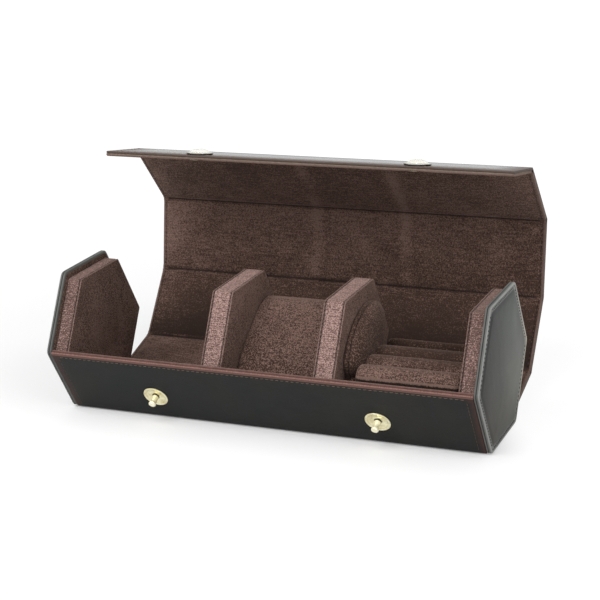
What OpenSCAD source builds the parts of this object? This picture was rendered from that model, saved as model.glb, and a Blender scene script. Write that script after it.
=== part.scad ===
// Six-sided travel case for wristwatches: one stiffened leather wrap between two end caps.
// The floor and the lower front wall are fixed to the caps; the other five panels fold open.
// X runs along the case, Y to the back, Z up. The origin is the middle of the floor's underside.

/* [Case] */
// Length over the two end caps
case_len = 215.4; // [190:0.2:300]
// Side of the six-sided outline, measured outside
side = 40; // [39:0.5:48]
// Radius of the outline's corners on the end caps
cap_corner_r = 3.5; // [2:0.25:5]
// Thickness of an end cap, leather and board together
cap_t = 2.5; // [2.2:0.1:4]
// Width of the leather turned over the edge of a cap board
cap_turn = 1.2; // [0.8:0.1:2]

/* [Panels] */
// Thickness of the outer leather
leather_t = 1.2; // [0.9:0.1:1.6]
// Thickness of the stiffening board
board_t = 0.8; // [0.7:0.1:1.4]
// Thickness of the suede lining
lining_t = 0.5; // [0.4:0.1:0.8]
// Bare strip between the fold and the board beside it
fold_strip = 0.5; // [0.3:0.1:1.2]
// Running gap between the lid and each end cap
lid_end_gap = 0.3; // [0.2:0.05:0.8]
// Running gap around the rolled fold of each hinge
fold_gap = 0.06; // [0.03:0.01:0.1]
// Gap left around the front wall when the lid is shut
shut_gap = 0.3; // [0.2:0.05:0.6]
// Gap between the shut flap and the front wall
flap_gap = 0.7; // [0.6:0.05:1.2]
// Leather left beyond the middle of a snap cap, down to the flap's edge
flap_margin = 7.2; // [6.8:0.1:12]

/* [Lid as it stands open] */
// Bend of the fold between the floor and the lower back panel
bend_floor = 15.2; // [10:0.2:40]
// Bend of the fold between the lower and the upper back panel
bend_back = 37.6; // [30:0.2:50]
// Bend of the fold between the upper back panel and the top panel
bend_top = 27.2; // [15:0.2:50]
// Bend of the fold between the top panel and the upper front panel
bend_front = 50; // [30:0.2:55]
// Bend of the fold between the upper front panel and the flap
bend_flap = 39.6; // [30:0.2:60]

/* [Snap fasteners] */
// Distance of each fastener from the middle of the case
snap_x = 56.5; // [30:0.5:80]
// Distance of a stud below the top edge of the front wall
stud_drop = 24.7; // [21:0.1:27]
// Radius of a stud's dished washer
washer_r = 6.5; // [5:0.1:8]
// Radius of a stud's neck
neck_r = 1.3; // [1:0.05:1.5]
// Radius of a stud's head
head_r = 1.85; // [1.7:0.05:2]
// Height of a stud above its washer
stud_h = 5.7; // [5.2:0.1:5.8]
// Radius of a snap cap's flange
cap_flange_r = 6.6; // [6.2:0.1:6.7]
// Height of a snap cap's dome
dome_h = 3.4; // [3.3:0.1:4.5]
// Wall of a snap cap
dome_wall = 0.4; // [0.3:0.05:0.5]
// Radius of the hole that a stud enters
socket_r = 2.6; // [2.5:0.05:2.8]
// Radius of the ring around that hole
socket_ring_r = 6; // [5:0.1:6.1]
// Wire radius of the spring ring
spring_wire_r = 0.33; // [0.25:0.01:0.35]

/* [Pads and dividers] */
// Thickness of an end pad
pad_t = 7.8; // [6:0.2:12]
// Thickness of a divider
divider_t = 10.6; // [8:0.2:14]
// Distance between the outline and the edge of a pad or divider
insert_inset = 3.1; // [3:0.1:4.5]
// Thickness of the suede on pads and dividers
suede_t = 0.8; // [0.5:0.1:1.2]
// Gap between loose pieces that lie beside each other
rest_gap = 0.3; // [0.2:0.05:0.4]
// Gap between a loose piece and the lining that it stands on
seat_gap = 0.1; // [0.05:0.05:0.3]

/* [Watch pillow] */
// Length of the pillow
pillow_len = 45; // [38:0.5:50]
// Longer width of the pillow's oval
pillow_long = 56.8; // [50:0.2:58]
// Shorter width of the pillow's oval
pillow_short = 37.7; // [32:0.2:39]
// Tilt of the oval's longer width from level
pillow_tilt = 35; // [20:1:40]
// Distance of the pillow's middle behind the middle of the case
pillow_back = 5.5; // [2:0.5:6]
// Squareness of the oval, where 2 is an ellipse
pillow_square = 3.1; // [2.2:0.1:3.5]
// Thickness of the pillow's suede cover
cover_t = 1.2; // [0.8:0.1:2]

/* [Ribbed cushion] */
// Thickness of the cushion's rounded cheek
cheek_t = 7.4; // [5:0.2:9]
// Thickness of the cheek's narrow rim
cheek_rim_t = 2.8; // [2:0.2:4]
// Length of the cheek's oval
cheek_long = 45.4; // [40:0.2:50]
// Height of the cheek's oval across its length
cheek_short = 26; // [20:0.2:30]
// Lean of the cheek's oval, rising towards the back
cheek_tilt = 24.6; // [10:0.2:40]
// Distance of the cheek's middle behind the middle of the case
cheek_back = -4.6; // [-8:0.1:2]
// Height of the cheek's middle above the lining
cheek_mid = 40.9; // [36:0.1:44]
// Height of the lowest rib's front edge above the lining
seat_h = 31.5; // [20:0.5:33]
// Rise from each rib to the next
rib_rise = 0.3; // [0:0.1:2]
// Height of a rib's round top above its edges
rib_crown = 5.3; // [2:0.1:6]
// Width of a rib
rib_w = 12.4; // [9:0.2:13]
// Width of the slot behind the ribs
slot_w = 8; // [6:0.5:9]
// Depth of the slot behind the ribs
slot_d = 12; // [6:0.5:18]
// Thickness of the board under the cushion
cushion_board_t = 1.5; // [1:0.1:3]

/* [Hidden] */
$fn = 64;
eps = 0.5;                                  // overshoot of cutting tools

leather_colour = "#2f2e2b";
edge_colour = "#7d4a45";
suede_colour = "#5b443f";
board_colour = "#b9a684";
brass_colour = "#d8cf8e";
foam_colour = "#cfc8b8";

apothem = side * sqrt(3) / 2;
mid_z = apothem;                            // height of the outline's middle
wall_t = leather_t + board_t + lining_t;    // a whole panel
inner_v = board_t + lining_t;               // lining's face, from the leather's inner face
set_back = leather_t + fold_strip;          // board and lining end this far from a fold
inner_half = case_len / 2 - cap_t;          // from the middle to a cap's inner face
lid_half = inner_half - lid_end_gap;

// A corner of the outline, moved in by an inset: 0 back bottom, then up the back and round
function corner(i, inset) =
    let (r = side * (1 - inset / apothem), a = -60 + 60 * i)
    [r * cos(a), mid_z + r * sin(a)];
function along(p, dir, d) = p + d * [cos(dir), sin(dir)];
function dot2(a, b) = a[0] * b[0] + a[1] * b[1];

// Lid shut: the upper front panel leans out just far enough to pass the front wall's top edge
fold_top_front = corner(3, leather_t);
front_edge = corner(4, 0);
edge_reach = norm(front_edge - fold_top_front);
edge_dir = 360 + atan2(front_edge[1] - fold_top_front[1], front_edge[0] - fold_top_front[0]);
shut_dir = edge_dir - asin((inner_v + shut_gap) / edge_reach);
flap_out = [cos(210), sin(210)];            // outward from the front wall
flap_plane = apothem + flap_gap + inner_v;  // flap's hinge, outward from the outline's middle
front_upper_w = (flap_plane - dot2(fold_top_front - [0, mid_z], flap_out))
    / dot2([cos(shut_dir), sin(shut_dir)], flap_out);
flap_fold_shut = along(fold_top_front, shut_dir, front_upper_w);
panel_w = side - 2 * leather_t / sqrt(3);   // fold to fold of the other lid panels
snap_u = dot2(along(front_edge, 300, stud_drop) - flap_fold_shut, [cos(300), sin(300)]);
flap_w = snap_u + flap_margin;

widths = [panel_w, panel_w, panel_w, front_upper_w, flap_w];
bends = [bend_floor, bend_back, bend_top, bend_front, bend_flap];
function panel_dir(i) = i < 0 ? 0 : bends[i] + panel_dir(i - 1);
function fold(i) = i == 0 ? corner(0, leather_t) : along(fold(i - 1), panel_dir(i - 1), widths[i - 1]);

// The fixed front wall, from its top edge down to the fold at the floor
front_top = front_edge + leather_t * [cos(30), sin(30)];
front_w = side - leather_t / sqrt(3);

// Inserts stand on the lining, so their outline's middle lies a little lower
lining_z = wall_t;
insert_apothem = apothem - insert_inset;
insert_side = insert_apothem * 2 / sqrt(3);
insert_z = lining_z + seat_gap + insert_apothem;
pad_face_x = inner_half - pad_t;
slot_len = (2 * pad_face_x - 2 * divider_t) / 3;
divider_2_x = slot_len / 2 + divider_t / 2;
divider_1_x = divider_2_x - divider_t - pillow_len - 2 * rest_gap;
pillow_x = divider_2_x - divider_t / 2 - rest_gap - pillow_len / 2;
cushion_x0 = divider_2_x + divider_t / 2 + rest_gap;
cushion_x1 = pad_face_x - rest_gap;

// Snap fastener heights, measured outward from the front wall's leather
washer_sink = 0.5;                          // washer let into the leather
washer_proud = 0.4;
well_r = neck_r + 1;                        // dark well around the post
part_gap = 0.05;                            // between fitted brass parts
backplate_r = 4.5;
backplate_t = 0.5;
stud_top = washer_proud + stud_h;
head_h = 1.8;
barrel_wall = 0.6;
barrel_r = socket_r + barrel_wall;
spring_h = 0.65;                            // spring ring above the flap's leather
barrel_top = 1.2;
flange_t = 0.5;

// Draws children in a panel's own frame: Y along the panel from p, Z towards the inside
module panel_frame(p, dir) {
    translate([0, p[0], p[1]]) rotate([dir, 0, 0]) children();
}

module lid_frame(i) {
    panel_frame(fold(i), panel_dir(i)) children();
}

module front_frame() {
    panel_frame(front_top, 300) children();
}

// A flat layer of a panel, from u0 to u1 along it and from v0 to v1 through it
module layer(half, u0, u1, v0, v1) {
    translate([-half, u0, v0]) cube([2 * half, u1 - u0, v1 - v0]);
}

module roll(half, u, r) {
    translate([0, u, 0]) rotate([0, 90, 0]) cylinder(h = 2 * half, r = r, center = true);
}

// A pair of children at the two fasteners, turned so that Z points outward from the leather
module at_snaps(u) {
    for (x = [-snap_x, snap_x])
        translate([x, u, -leather_t]) rotate([180, 0, 0]) children();
}

module snap_bores(u, r) {
    at_snaps(u) translate([0, 0, -wall_t - eps]) cylinder(h = wall_t + 2 * eps, r = r);
}

// Leather of a lid panel: rolled fold at its start, hollow at its end for the next fold
module lid_leather(i) {
    last = i == len(widths) - 1;
    lid_frame(i) difference() {
        union() {
            layer(lid_half, 0, widths[i], -leather_t, 0);
            roll(lid_half, 0, leather_t);
        }
        if (!last) roll(lid_half + eps, widths[i], leather_t + fold_gap);
        if (last) snap_bores(snap_u, barrel_r + part_gap);
    }
}

module lid_board(i) {
    last = i == len(widths) - 1;
    lid_frame(i) difference() {
        layer(lid_half, set_back, widths[i] - (last ? 0 : set_back), 0, board_t);
        if (last) snap_bores(snap_u, barrel_r + part_gap);
    }
}

module lid_lining(i) {
    last = i == len(widths) - 1;
    lid_frame(i) difference() {
        layer(lid_half, set_back, widths[i] - (last ? 0 : set_back), board_t, inner_v);
        if (last) snap_bores(snap_u, socket_ring_r + part_gap);
    }
}

// Floor and front wall in one length, rounded outside where it turns up
module base_leather() {
    turn = corner(5, leather_t);
    out_l = front_top + leather_t * [cos(210), sin(210)];
    outline = concat([corner(0, leather_t), turn, front_top, out_l],
        [for (a = [210:5:270]) turn + leather_t * [cos(a), sin(a)]],
        [[corner(0, leather_t)[0], 0]]);
    color(leather_colour) difference() {
        rotate([90, 0, 90]) linear_extrude(height = 2 * inner_half, center = true) polygon(outline);
        panel_frame(corner(0, leather_t), 0) roll(inner_half + eps, 0, leather_t + fold_gap);
        front_frame() snap_bores(stud_drop, neck_r + part_gap);
        front_frame() at_snaps(stud_drop)
            translate([0, 0, -washer_sink]) cylinder(h = washer_sink + eps, r = washer_r + part_gap);
    }
}

module bottom_board() {
    color(board_colour) panel_frame(corner(5, leather_t), 0)
        layer(inner_half, set_back, panel_w - set_back, 0, board_t);
}

module front_board() {
    color(board_colour) front_frame() difference() {
        layer(inner_half, 0, front_w - set_back, 0, board_t);
        snap_bores(stud_drop, neck_r + part_gap);
        at_snaps(stud_drop) translate([0, 0, -leather_t - board_t - eps])
            cylinder(h = backplate_t + eps, r = backplate_r + part_gap);
    }
}

// One sheet over the floor and up the front wall
module base_lining() {
    out_c = corner(5, leather_t + board_t);
    in_c = corner(5, wall_t);
    back_y = corner(0, leather_t)[0] - set_back;
    normal = [cos(30), sin(30)];
    outline = [[back_y, lining_z - lining_t], out_c, front_top + board_t * normal,
        front_top + inner_v * normal, in_c, [back_y, lining_z]];
    color(suede_colour) rotate([90, 0, 90])
        linear_extrude(height = 2 * inner_half, center = true) polygon(outline);
}

// The six-sided outline with rounded corners, in the YZ plane and x0 to x1 thick
module rounded_plate(inset, x0, x1) {
    r = cap_corner_r;
    tangent = r / sqrt(3);
    pts = [for (i = [0:5]) for (s = [-1, 1])
        corner(i, inset) + tangent * [cos(60 * i + (s < 0 ? 180 : 60)), sin(60 * i + (s < 0 ? 180 : 60))]];
    translate([x0, 0, 0]) rotate([90, 0, 90]) linear_extrude(height = x1 - x0) union() {
        polygon(pts);
        for (i = [0:5]) translate(corner(i, inset + r)) circle(r = r);
    }
}

// Cap leather: a face sheet turned over the board's edge. s is -1 on the left, 1 on the right
module cap_leather(s) {
    face_t = cap_turn;
    mirror([s < 0 ? 1 : 0, 0, 0]) difference() {
        rounded_plate(0, inner_half, case_len / 2);
        rounded_plate(cap_turn, inner_half - eps, case_len / 2 - face_t);
    }
}

module cap_board(s) {
    mirror([s < 0 ? 1 : 0, 0, 0])
        rounded_plate(cap_turn, inner_half, case_len / 2 - cap_turn);
}

// A six-sided block for pads and dividers, from x0 to x1, with its edge moved in by inset
module block(inset, x0, x1) {
    r = insert_side * (1 - inset / insert_apothem);
    pts = [for (i = [0:5]) [r * cos(60 * i), insert_z + r * sin(60 * i)]];
    translate([x0, 0, 0]) rotate([90, 0, 90]) linear_extrude(height = x1 - x0) polygon(pts);
}

module band(x0, x1) {
    difference() {
        block(0, x0, x1);
        block(suede_t, x0 - eps, x1 + eps);
    }
}

module pad_core(s) {
    mirror([s < 0 ? 1 : 0, 0, 0]) block(suede_t, pad_face_x + suede_t, inner_half);
}

module pad_band(s) {
    mirror([s < 0 ? 1 : 0, 0, 0]) band(pad_face_x, inner_half);
}

module pad_face(s) {
    mirror([s < 0 ? 1 : 0, 0, 0]) block(suede_t, pad_face_x, pad_face_x + suede_t);
}

module divider_core(x) {
    block(suede_t, x - divider_t / 2 + suede_t, x + divider_t / 2 - suede_t);
}

module divider_band(x) {
    band(x - divider_t / 2, x + divider_t / 2);
}

module divider_faces(x) {
    block(suede_t, x - divider_t / 2, x - divider_t / 2 + suede_t);
    block(suede_t, x + divider_t / 2 - suede_t, x + divider_t / 2);
}

// Dished washer of a stud, let into the front wall
module stud_washers() {
    color(brass_colour) front_frame() at_snaps(stud_drop) rotate_extrude()
        polygon([[neck_r + part_gap, -washer_sink], [washer_r - 0.2, -washer_sink],
            [washer_r, -0.1], [washer_r - 0.1, washer_proud - 0.15],
            [washer_r - 0.5, washer_proud], [washer_r - 1.3, washer_proud - 0.05],
            [well_r + 1, 0.15], [well_r, 0.1], [well_r - 0.2, -0.25],
            [neck_r + part_gap, -0.25]]);
}

// Post with a waisted neck and a mushroom head, riveted through wall and backplate
module stud_posts() {
    neck_top = stud_top - head_h;
    color(brass_colour) front_frame() at_snaps(stud_drop) rotate_extrude()
        polygon([[0, -leather_t - board_t], [neck_r, -leather_t - board_t],
            [neck_r, neck_top], [neck_r + 0.2, neck_top + 0.25],
            [head_r - 0.05, neck_top + 0.65], [head_r, neck_top + 1],
            [head_r - 0.15, neck_top + 1.35], [head_r - 0.55, neck_top + 1.65],
            [0.6, stud_top - 0.02], [0, stud_top]]);
}

module stud_backplates() {
    color(brass_colour) front_frame() at_snaps(stud_drop)
        translate([0, 0, -leather_t - board_t]) difference() {
            cylinder(h = backplate_t, r = backplate_r);
            translate([0, 0, -eps]) cylinder(h = backplate_t + 2 * eps, r = neck_r + part_gap);
        }
}

// Domed cap on the outside of the flap
module snap_caps() {
    rim = barrel_r + part_gap;
    in_r = cap_flange_r - 1.6;
    color(brass_colour) lid_frame(4) at_snaps(snap_u) rotate_extrude()
        polygon([[rim, 0], [cap_flange_r - 0.15, 0], [cap_flange_r, 0.2],
            [cap_flange_r - 0.2, flange_t], [in_r + 0.4, flange_t + 0.35],
            [in_r - 0.3, dome_h * 0.55], [in_r - 1.6, dome_h * 0.83],
            [1.6, dome_h * 0.97], [0, dome_h], [0, dome_h - dome_wall],
            [1.5, dome_h * 0.97 - dome_wall], [in_r - 1.8, dome_h * 0.83 - dome_wall],
            [in_r - 0.9, dome_h * 0.55 - dome_wall], [in_r - 0.4, flange_t],
            [rim, flange_t]]);
}

// Barrel through the flap, with a ring against the lining's side
module snap_sockets() {
    color(brass_colour) lid_frame(4) at_snaps(snap_u) difference() {
        union() {
            translate([0, 0, -wall_t]) cylinder(h = wall_t + barrel_top, r = barrel_r);
            translate([0, 0, -wall_t]) cylinder(h = lining_t, r = socket_ring_r);
        }
        translate([0, 0, -wall_t - eps]) cylinder(h = wall_t + barrel_top + 2 * eps, r = socket_r);
    }
}

// Split wire ring that grips the stud's neck
module snap_springs() {
    ring_r = socket_r - part_gap - spring_wire_r;
    color(brass_colour) lid_frame(4) at_snaps(snap_u) translate([0, 0, spring_h])
        rotate([0, 0, 20]) rotate_extrude(angle = 320) translate([ring_r, 0]) circle(r = spring_wire_r, $fn = 24);
}

// Oval of the pillow, shrunk by t; its lowest point stands on the lining
function sgn_pow(v, e) = sign(v) * pow(abs(v), e);
function oval_at(a, t) = let (
    e = 2 / pillow_square,
    u = (pillow_long / 2 - t) * sgn_pow(cos(a), e),
    v = (pillow_short / 2 - t) * sgn_pow(sin(a), e))
    [u * cos(pillow_tilt) - v * sin(pillow_tilt), u * sin(pillow_tilt) + v * cos(pillow_tilt)];
function oval(t) = [for (i = [0:39]) oval_at(9 * i, t)];
oval_low = min([for (p = oval(0)) p[1]]);
pillow_z = lining_z + seat_gap - oval_low;

module pillow_solid(t, x0, x1) {
    translate([x0, pillow_back, pillow_z]) rotate([90, 0, 90])
        linear_extrude(height = x1 - x0) polygon(oval(t));
}

module pillow_core() {
    h = pillow_len / 2;
    color(foam_colour) pillow_solid(cover_t, pillow_x - h + cover_t, pillow_x + h - cover_t);
}

module pillow_cover() {
    h = pillow_len / 2;
    color(suede_colour) difference() {
        pillow_solid(0, pillow_x - h, pillow_x + h);
        pillow_solid(cover_t, pillow_x - h - eps, pillow_x + h + eps);
    }
}

module pillow_ends() {
    h = pillow_len / 2;
    color(suede_colour) {
        pillow_solid(cover_t, pillow_x - h, pillow_x - h + cover_t);
        pillow_solid(cover_t, pillow_x + h - cover_t, pillow_x + h);
    }
}

// Cushion of the right-hand slot: a board, a ribbed seat with a slot, and a rounded cheek
cushion_z = lining_z + seat_gap;
cushion_top_z = cushion_z + cushion_board_t;
foot_y = insert_side / 2 - 1;               // half width of the cushion's foot
front_slope = 1 / sqrt(3);                  // front wall's lean

module cushion_board() {
    color(board_colour) translate([cushion_x0, -foot_y, cushion_z])
        cube([cushion_x1 - cushion_x0, 2 * foot_y, cushion_board_t]);
}

module cushion_seat() {
    z0 = lining_z + seat_h;
    y0 = -foot_y - (z0 - cushion_z) * front_slope + 2.5;
    ribs = [for (i = [0:2]) for (t = [6:24:174])
        [y0 + i * rib_w + rib_w / 2 * (1 - cos(t)), z0 + i * rib_rise + rib_crown * sin(t)]];
    y1 = y0 + 3 * rib_w;
    z1 = z0 + 2 * rib_rise;
    back_z = z1 + rib_crown - 1.5;
    back_y = y1 + slot_w + 3;
    outline = concat([[-foot_y, cushion_top_z], [y0, z0 - 2]], ribs,
        [[y1 + 0.4, z1 - 1], [y1 + 1, z1 - slot_d], [y1 + slot_w, z1 - slot_d],
        [y1 + slot_w + 0.5, back_z], [back_y, back_z - 0.4], [back_y + 0.5, back_z - 4], [foot_y, cushion_top_z]]);
    color(suede_colour) translate([cushion_x0 + cheek_t, 0, 0]) rotate([90, 0, 90])
        linear_extrude(height = cushion_x1 - cushion_x0 - cheek_t) polygon([for (i = [len(outline) - 1:-1:0]) outline[i]]);
}

// Leaning oval with a narrow rim, on a plate that stands on the board
function cheek_outline(inset) =
    let (mid_z = lining_z + cheek_mid)
    concat([for (t = [-65:10:195]) let (u = (cheek_long / 2 - inset) * cos(t), w = (cheek_short / 2 - inset) * sin(t))
        [cheek_back + u * cos(cheek_tilt) - w * sin(cheek_tilt), mid_z + u * sin(cheek_tilt) + w * cos(cheek_tilt)]],
    [[-foot_y - 8 + inset, mid_z - 17], [-foot_y, cushion_top_z], [foot_y, cushion_top_z]]);

module cushion_cheek() {
    color(suede_colour) translate([cushion_x0, 0, 0]) rotate([90, 0, 90]) union() {
        linear_extrude(height = cheek_rim_t) polygon(cheek_outline(0));
        linear_extrude(height = cheek_t) polygon(cheek_outline(2.6));
    }
}

base_leather();
bottom_board();
front_board();
base_lining();
color(leather_colour) cap_leather(-1);  // left_cap_leather
color(board_colour) cap_board(-1);  // left_cap_board
color(leather_colour) cap_leather(1);  // right_cap_leather
color(board_colour) cap_board(1);  // right_cap_board
color(board_colour) pad_core(-1);  // left_pad_core
color(suede_colour) pad_band(-1);  // left_pad_band
color(suede_colour) pad_face(-1);  // left_pad_face
color(board_colour) pad_core(1);  // right_pad_core
color(suede_colour) pad_band(1);  // right_pad_band
color(suede_colour) pad_face(1);  // right_pad_face
stud_washers();
stud_posts();
stud_backplates();
color(leather_colour) lid_leather(0);  // back_lower_leather
color(board_colour) lid_board(0);  // back_lower_board
color(suede_colour) lid_lining(0);  // back_lower_lining
color(leather_colour) lid_leather(1);  // back_upper_leather
color(board_colour) lid_board(1);  // back_upper_board
color(suede_colour) lid_lining(1);  // back_upper_lining
color(leather_colour) lid_leather(2);  // top_leather
color(board_colour) lid_board(2);  // top_board
color(suede_colour) lid_lining(2);  // top_lining
color(leather_colour) lid_leather(3);  // front_upper_leather
color(board_colour) lid_board(3);  // front_upper_board
color(suede_colour) lid_lining(3);  // front_upper_lining
color(leather_colour) lid_leather(4);  // flap_leather
color(board_colour) lid_board(4);  // flap_board
color(suede_colour) lid_lining(4);  // flap_lining
snap_caps();
snap_sockets();
snap_springs();
color(board_colour) divider_core(divider_1_x);  // divider_1_core
color(suede_colour) divider_band(divider_1_x);  // divider_1_band
color(suede_colour) divider_faces(divider_1_x);  // divider_1_faces
color(board_colour) divider_core(divider_2_x);  // divider_2_core
color(suede_colour) divider_band(divider_2_x);  // divider_2_band
color(suede_colour) divider_faces(divider_2_x);  // divider_2_faces
pillow_core();
pillow_cover();
pillow_ends();
cushion_board();
cushion_seat();
cushion_cheek();
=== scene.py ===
import bpy
import bmesh
import math
import numpy as np
from mathutils import Matrix, Vector


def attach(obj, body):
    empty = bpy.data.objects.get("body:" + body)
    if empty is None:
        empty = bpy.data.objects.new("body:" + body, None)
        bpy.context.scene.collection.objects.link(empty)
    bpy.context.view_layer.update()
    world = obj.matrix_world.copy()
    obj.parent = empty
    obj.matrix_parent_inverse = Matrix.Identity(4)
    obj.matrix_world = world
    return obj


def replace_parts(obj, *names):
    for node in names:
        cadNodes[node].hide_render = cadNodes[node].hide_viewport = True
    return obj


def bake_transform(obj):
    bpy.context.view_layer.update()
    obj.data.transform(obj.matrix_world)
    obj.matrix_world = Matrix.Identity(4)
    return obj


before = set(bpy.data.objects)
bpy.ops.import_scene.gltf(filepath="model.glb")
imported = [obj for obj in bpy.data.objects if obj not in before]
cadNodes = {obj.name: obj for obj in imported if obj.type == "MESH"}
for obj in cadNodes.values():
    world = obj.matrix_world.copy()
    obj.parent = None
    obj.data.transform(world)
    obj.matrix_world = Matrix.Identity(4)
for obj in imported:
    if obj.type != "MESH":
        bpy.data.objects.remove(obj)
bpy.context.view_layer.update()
mm = 0.001
print("watch case: frame loaded,", len(cadNodes), "nodes")

# sizes of the case in millimetres, the same as in the part's source
case = {
    "side": 40.0, "length": 215.4, "capThick": 2.5, "capCorner": 3.5,
    "leather": 1.2, "board": 0.8, "lining": 0.5, "endGap": 0.3,
    "shutGap": 0.3, "flapGap": 0.7, "flapMargin": 7.2,
    "bends": [15.2, 37.6, 27.2, 50.0, 39.6],  # each fold as the lid stands open, in degrees
    "studDrop": 24.7, "snapX": 56.5,
}
apothem = case["side"] * math.sqrt(3) / 2
wall = case["leather"] + case["board"] + case["lining"]
innerV = case["board"] + case["lining"]
innerHalf = case["length"] / 2 - case["capThick"]
lidHalf = innerHalf - case["endGap"]


def corner(i, inset):
    # corner i of the six-sided outline, moved in by inset: the middle plus the side, scaled by what
    # is left of the apothem, at 60 degree steps
    r = case["side"] * (1 - inset / apothem)
    a = math.radians(-60 + 60 * i)
    return np.array([r * math.cos(a), apothem + r * math.sin(a)])


def heading(deg):
    return np.array([math.cos(math.radians(deg)), math.sin(math.radians(deg))])


def left(d):
    # a quarter turn to the left of d
    return np.array([-d[1], d[0]])


wallDown, wallOut, wallIn = heading(300), heading(210), heading(30)  # down and across the front wall


def lidLayout():
    # fold points and headings of the five lid panels, each fold turning by its bend, as in the part's source
    topFront, frontEdge = corner(3, case["leather"]), corner(4, 0)
    reach = np.linalg.norm(frontEdge - topFront)
    toEdge = 360 + math.degrees(math.atan2(*(frontEdge - topFront)[::-1]))
    shut = toEdge - math.degrees(math.asin((innerV + case["shutGap"]) / reach))
    plane = apothem + case["flapGap"] + innerV
    upper = (plane - (topFront - [0, apothem]) @ wallOut) / (heading(shut) @ wallOut)
    flapFold = topFront + heading(shut) * upper
    snapU = (frontEdge + wallDown * case["studDrop"] - flapFold) @ wallDown
    side = case["side"] - 2 * case["leather"] / math.sqrt(3)
    widths = [side, side, side, upper, snapU + case["flapMargin"]]
    folds, dirs = [corner(0, case["leather"])], []
    for bend, width in zip(case["bends"], widths):
        dirs.append(bend + (dirs[-1] if dirs else 0))
        folds.append(folds[-1] + heading(dirs[-1]) * width)
    return folds, dirs, widths, snapU


folds, dirs, widths, snapU = lidLayout()
lidBodies = ["back_lower", "back_upper", "top", "front_upper", "flap"]
foldPairs = list(zip(["base"] + lidBodies, lidBodies, [0.0] + dirs, dirs))  # bodies and headings at each fold
frontTop = corner(4, 0) + case["leather"] * wallIn
frontWidth = case["side"] - case["leather"] / math.sqrt(3)

# mesh helpers
farAway = 99.0  # in mm, a distance that stands for no cut edge near
weld = 2e-7  # in metres, points closer than this become one
drill = {"sides": 40, "depth": 20.0, "sharp": 40}
cornerShare = 0.1547  # how far a sharp corner stands past a side's middle, as a share of the side
beadShape = {"rings": 7, "sides": 6, "blunt": 0.55, "flat": 0.8, "sunk": 0.7, "twist": 1.7}


def smooth(edge0, edge1, x):
    t = np.clip((x - edge0) / (edge1 - edge0), 0, 1)
    return t * t * (3 - 2 * t)


def hashNoise(x, y, seed):
    # sum of a few sine waves at odd angles, which stands for slow unevenness of hand work
    rng = np.random.default_rng(seed)
    total = 0
    for k in range(6):
        a, f, p = rng.uniform(0, 6.28), rng.uniform(0.5, 1.6), rng.uniform(0, 6.28)
        total = total + np.sin((x * math.cos(a) + y * math.sin(a)) * f + p)
    return total / 6


def stations(low, high, step, r, roundLow=True, roundHigh=True):
    # positions from low to high: close together over the rounded edge of width r, then evenly spaced
    near = r * np.array([0, 0.03, 0.12, 0.3, 0.6, 1.0])
    a = low + near if roundLow else np.array([low, low])
    b = high - near[::-1] if roundHigh else np.array([high, high])
    count = max(2, int(round((b[0] - a[-1]) / step)))
    return np.concatenate([a, np.linspace(a[-1], b[0], count + 1)[1:-1], b])


def withMarks(xs, marks):
    # the same positions with more put in between, keeping doubled ones at a square end
    return np.sort(np.concatenate([xs, [q for q in marks if np.abs(xs - q).min() > 0.02]]))


def fullness(s, r, roundLow=True, roundHigh=True):
    # quarter circle from 0 at an edge to 1 at r from it; a square edge goes from 0 to 1 at once
    d = np.full(len(s), 1e9)
    if roundLow:
        d = np.minimum(d, s - s[0])
    if roundHigh:
        d = np.minimum(d, s[-1] - s)
    f = np.sqrt(np.clip(1 - (1 - np.clip(d / r, 0, 1)) ** 2, 0, 1))
    if not roundLow:
        f[0] = 0
    if not roundHigh:
        f[-1] = 0
    return f


def finishMesh(name, verts, faces, flat, attributes, autoSmooth=40):
    # a mesh from points, four-sided faces and values at the points; flat is the place on the laid-out hide
    mesh = bpy.data.meshes.new(name)
    mesh.from_pydata(verts.tolist(), [], faces.tolist())
    vec = mesh.attributes.new("flat", "FLOAT_VECTOR", "POINT")
    vec.data.foreach_set("vector", np.ascontiguousarray(flat, np.float32).ravel())
    for key, values in attributes.items():
        made = mesh.attributes.new(key, "FLOAT", "POINT")
        spread = np.ascontiguousarray(np.broadcast_to(values, len(verts)), np.float32)
        made.data.foreach_set("value", spread.ravel())
    bm = bmesh.new()
    bm.from_mesh(mesh)
    bmesh.ops.remove_doubles(bm, verts=bm.verts, dist=weld)
    bmesh.ops.dissolve_degenerate(bm, edges=bm.edges, dist=weld)
    bmesh.ops.recalc_face_normals(bm, faces=bm.faces)
    bm.to_mesh(mesh)
    bm.free()
    mesh.polygons.foreach_set("use_smooth", np.ones(len(mesh.polygons), bool))
    mesh.set_sharp_from_angle(angle=math.radians(autoSmooth))
    obj = bpy.data.objects.new(name, mesh)
    bpy.context.scene.collection.objects.link(obj)
    return obj


def bore(obj, middles, axis, radius):
    # round holes through a finished slab, one at each middle
    turn = Vector(axis).to_track_quat("Z", "Y").to_euler()
    for middle in middles:
        bpy.ops.mesh.primitive_cylinder_add(vertices=drill["sides"], radius=radius * mm,
                                            depth=drill["depth"] * mm, location=Vector(middle) * mm,
                                            rotation=turn)
        cutter = bpy.context.object
        cut = obj.modifiers.new("bore", "BOOLEAN")
        cut.operation, cut.solver, cut.object = "DIFFERENCE", "EXACT", cutter
        done = obj.evaluated_get(bpy.context.evaluated_depsgraph_get())
        cutMesh = bpy.data.meshes.new_from_object(done)
        obj.modifiers.clear()
        obj.data = cutMesh
        bpy.data.objects.remove(cutter)
    obj.data.set_sharp_from_angle(angle=math.radians(drill["sharp"]))


def snapMiddles():
    # where the snaps pass through the flap, and their axis
    d = heading(dirs[4])
    return [(s * case["snapX"], *(folds[4] + d * snapU)) for s in (-1, 1)], (0, *-left(d))


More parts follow.
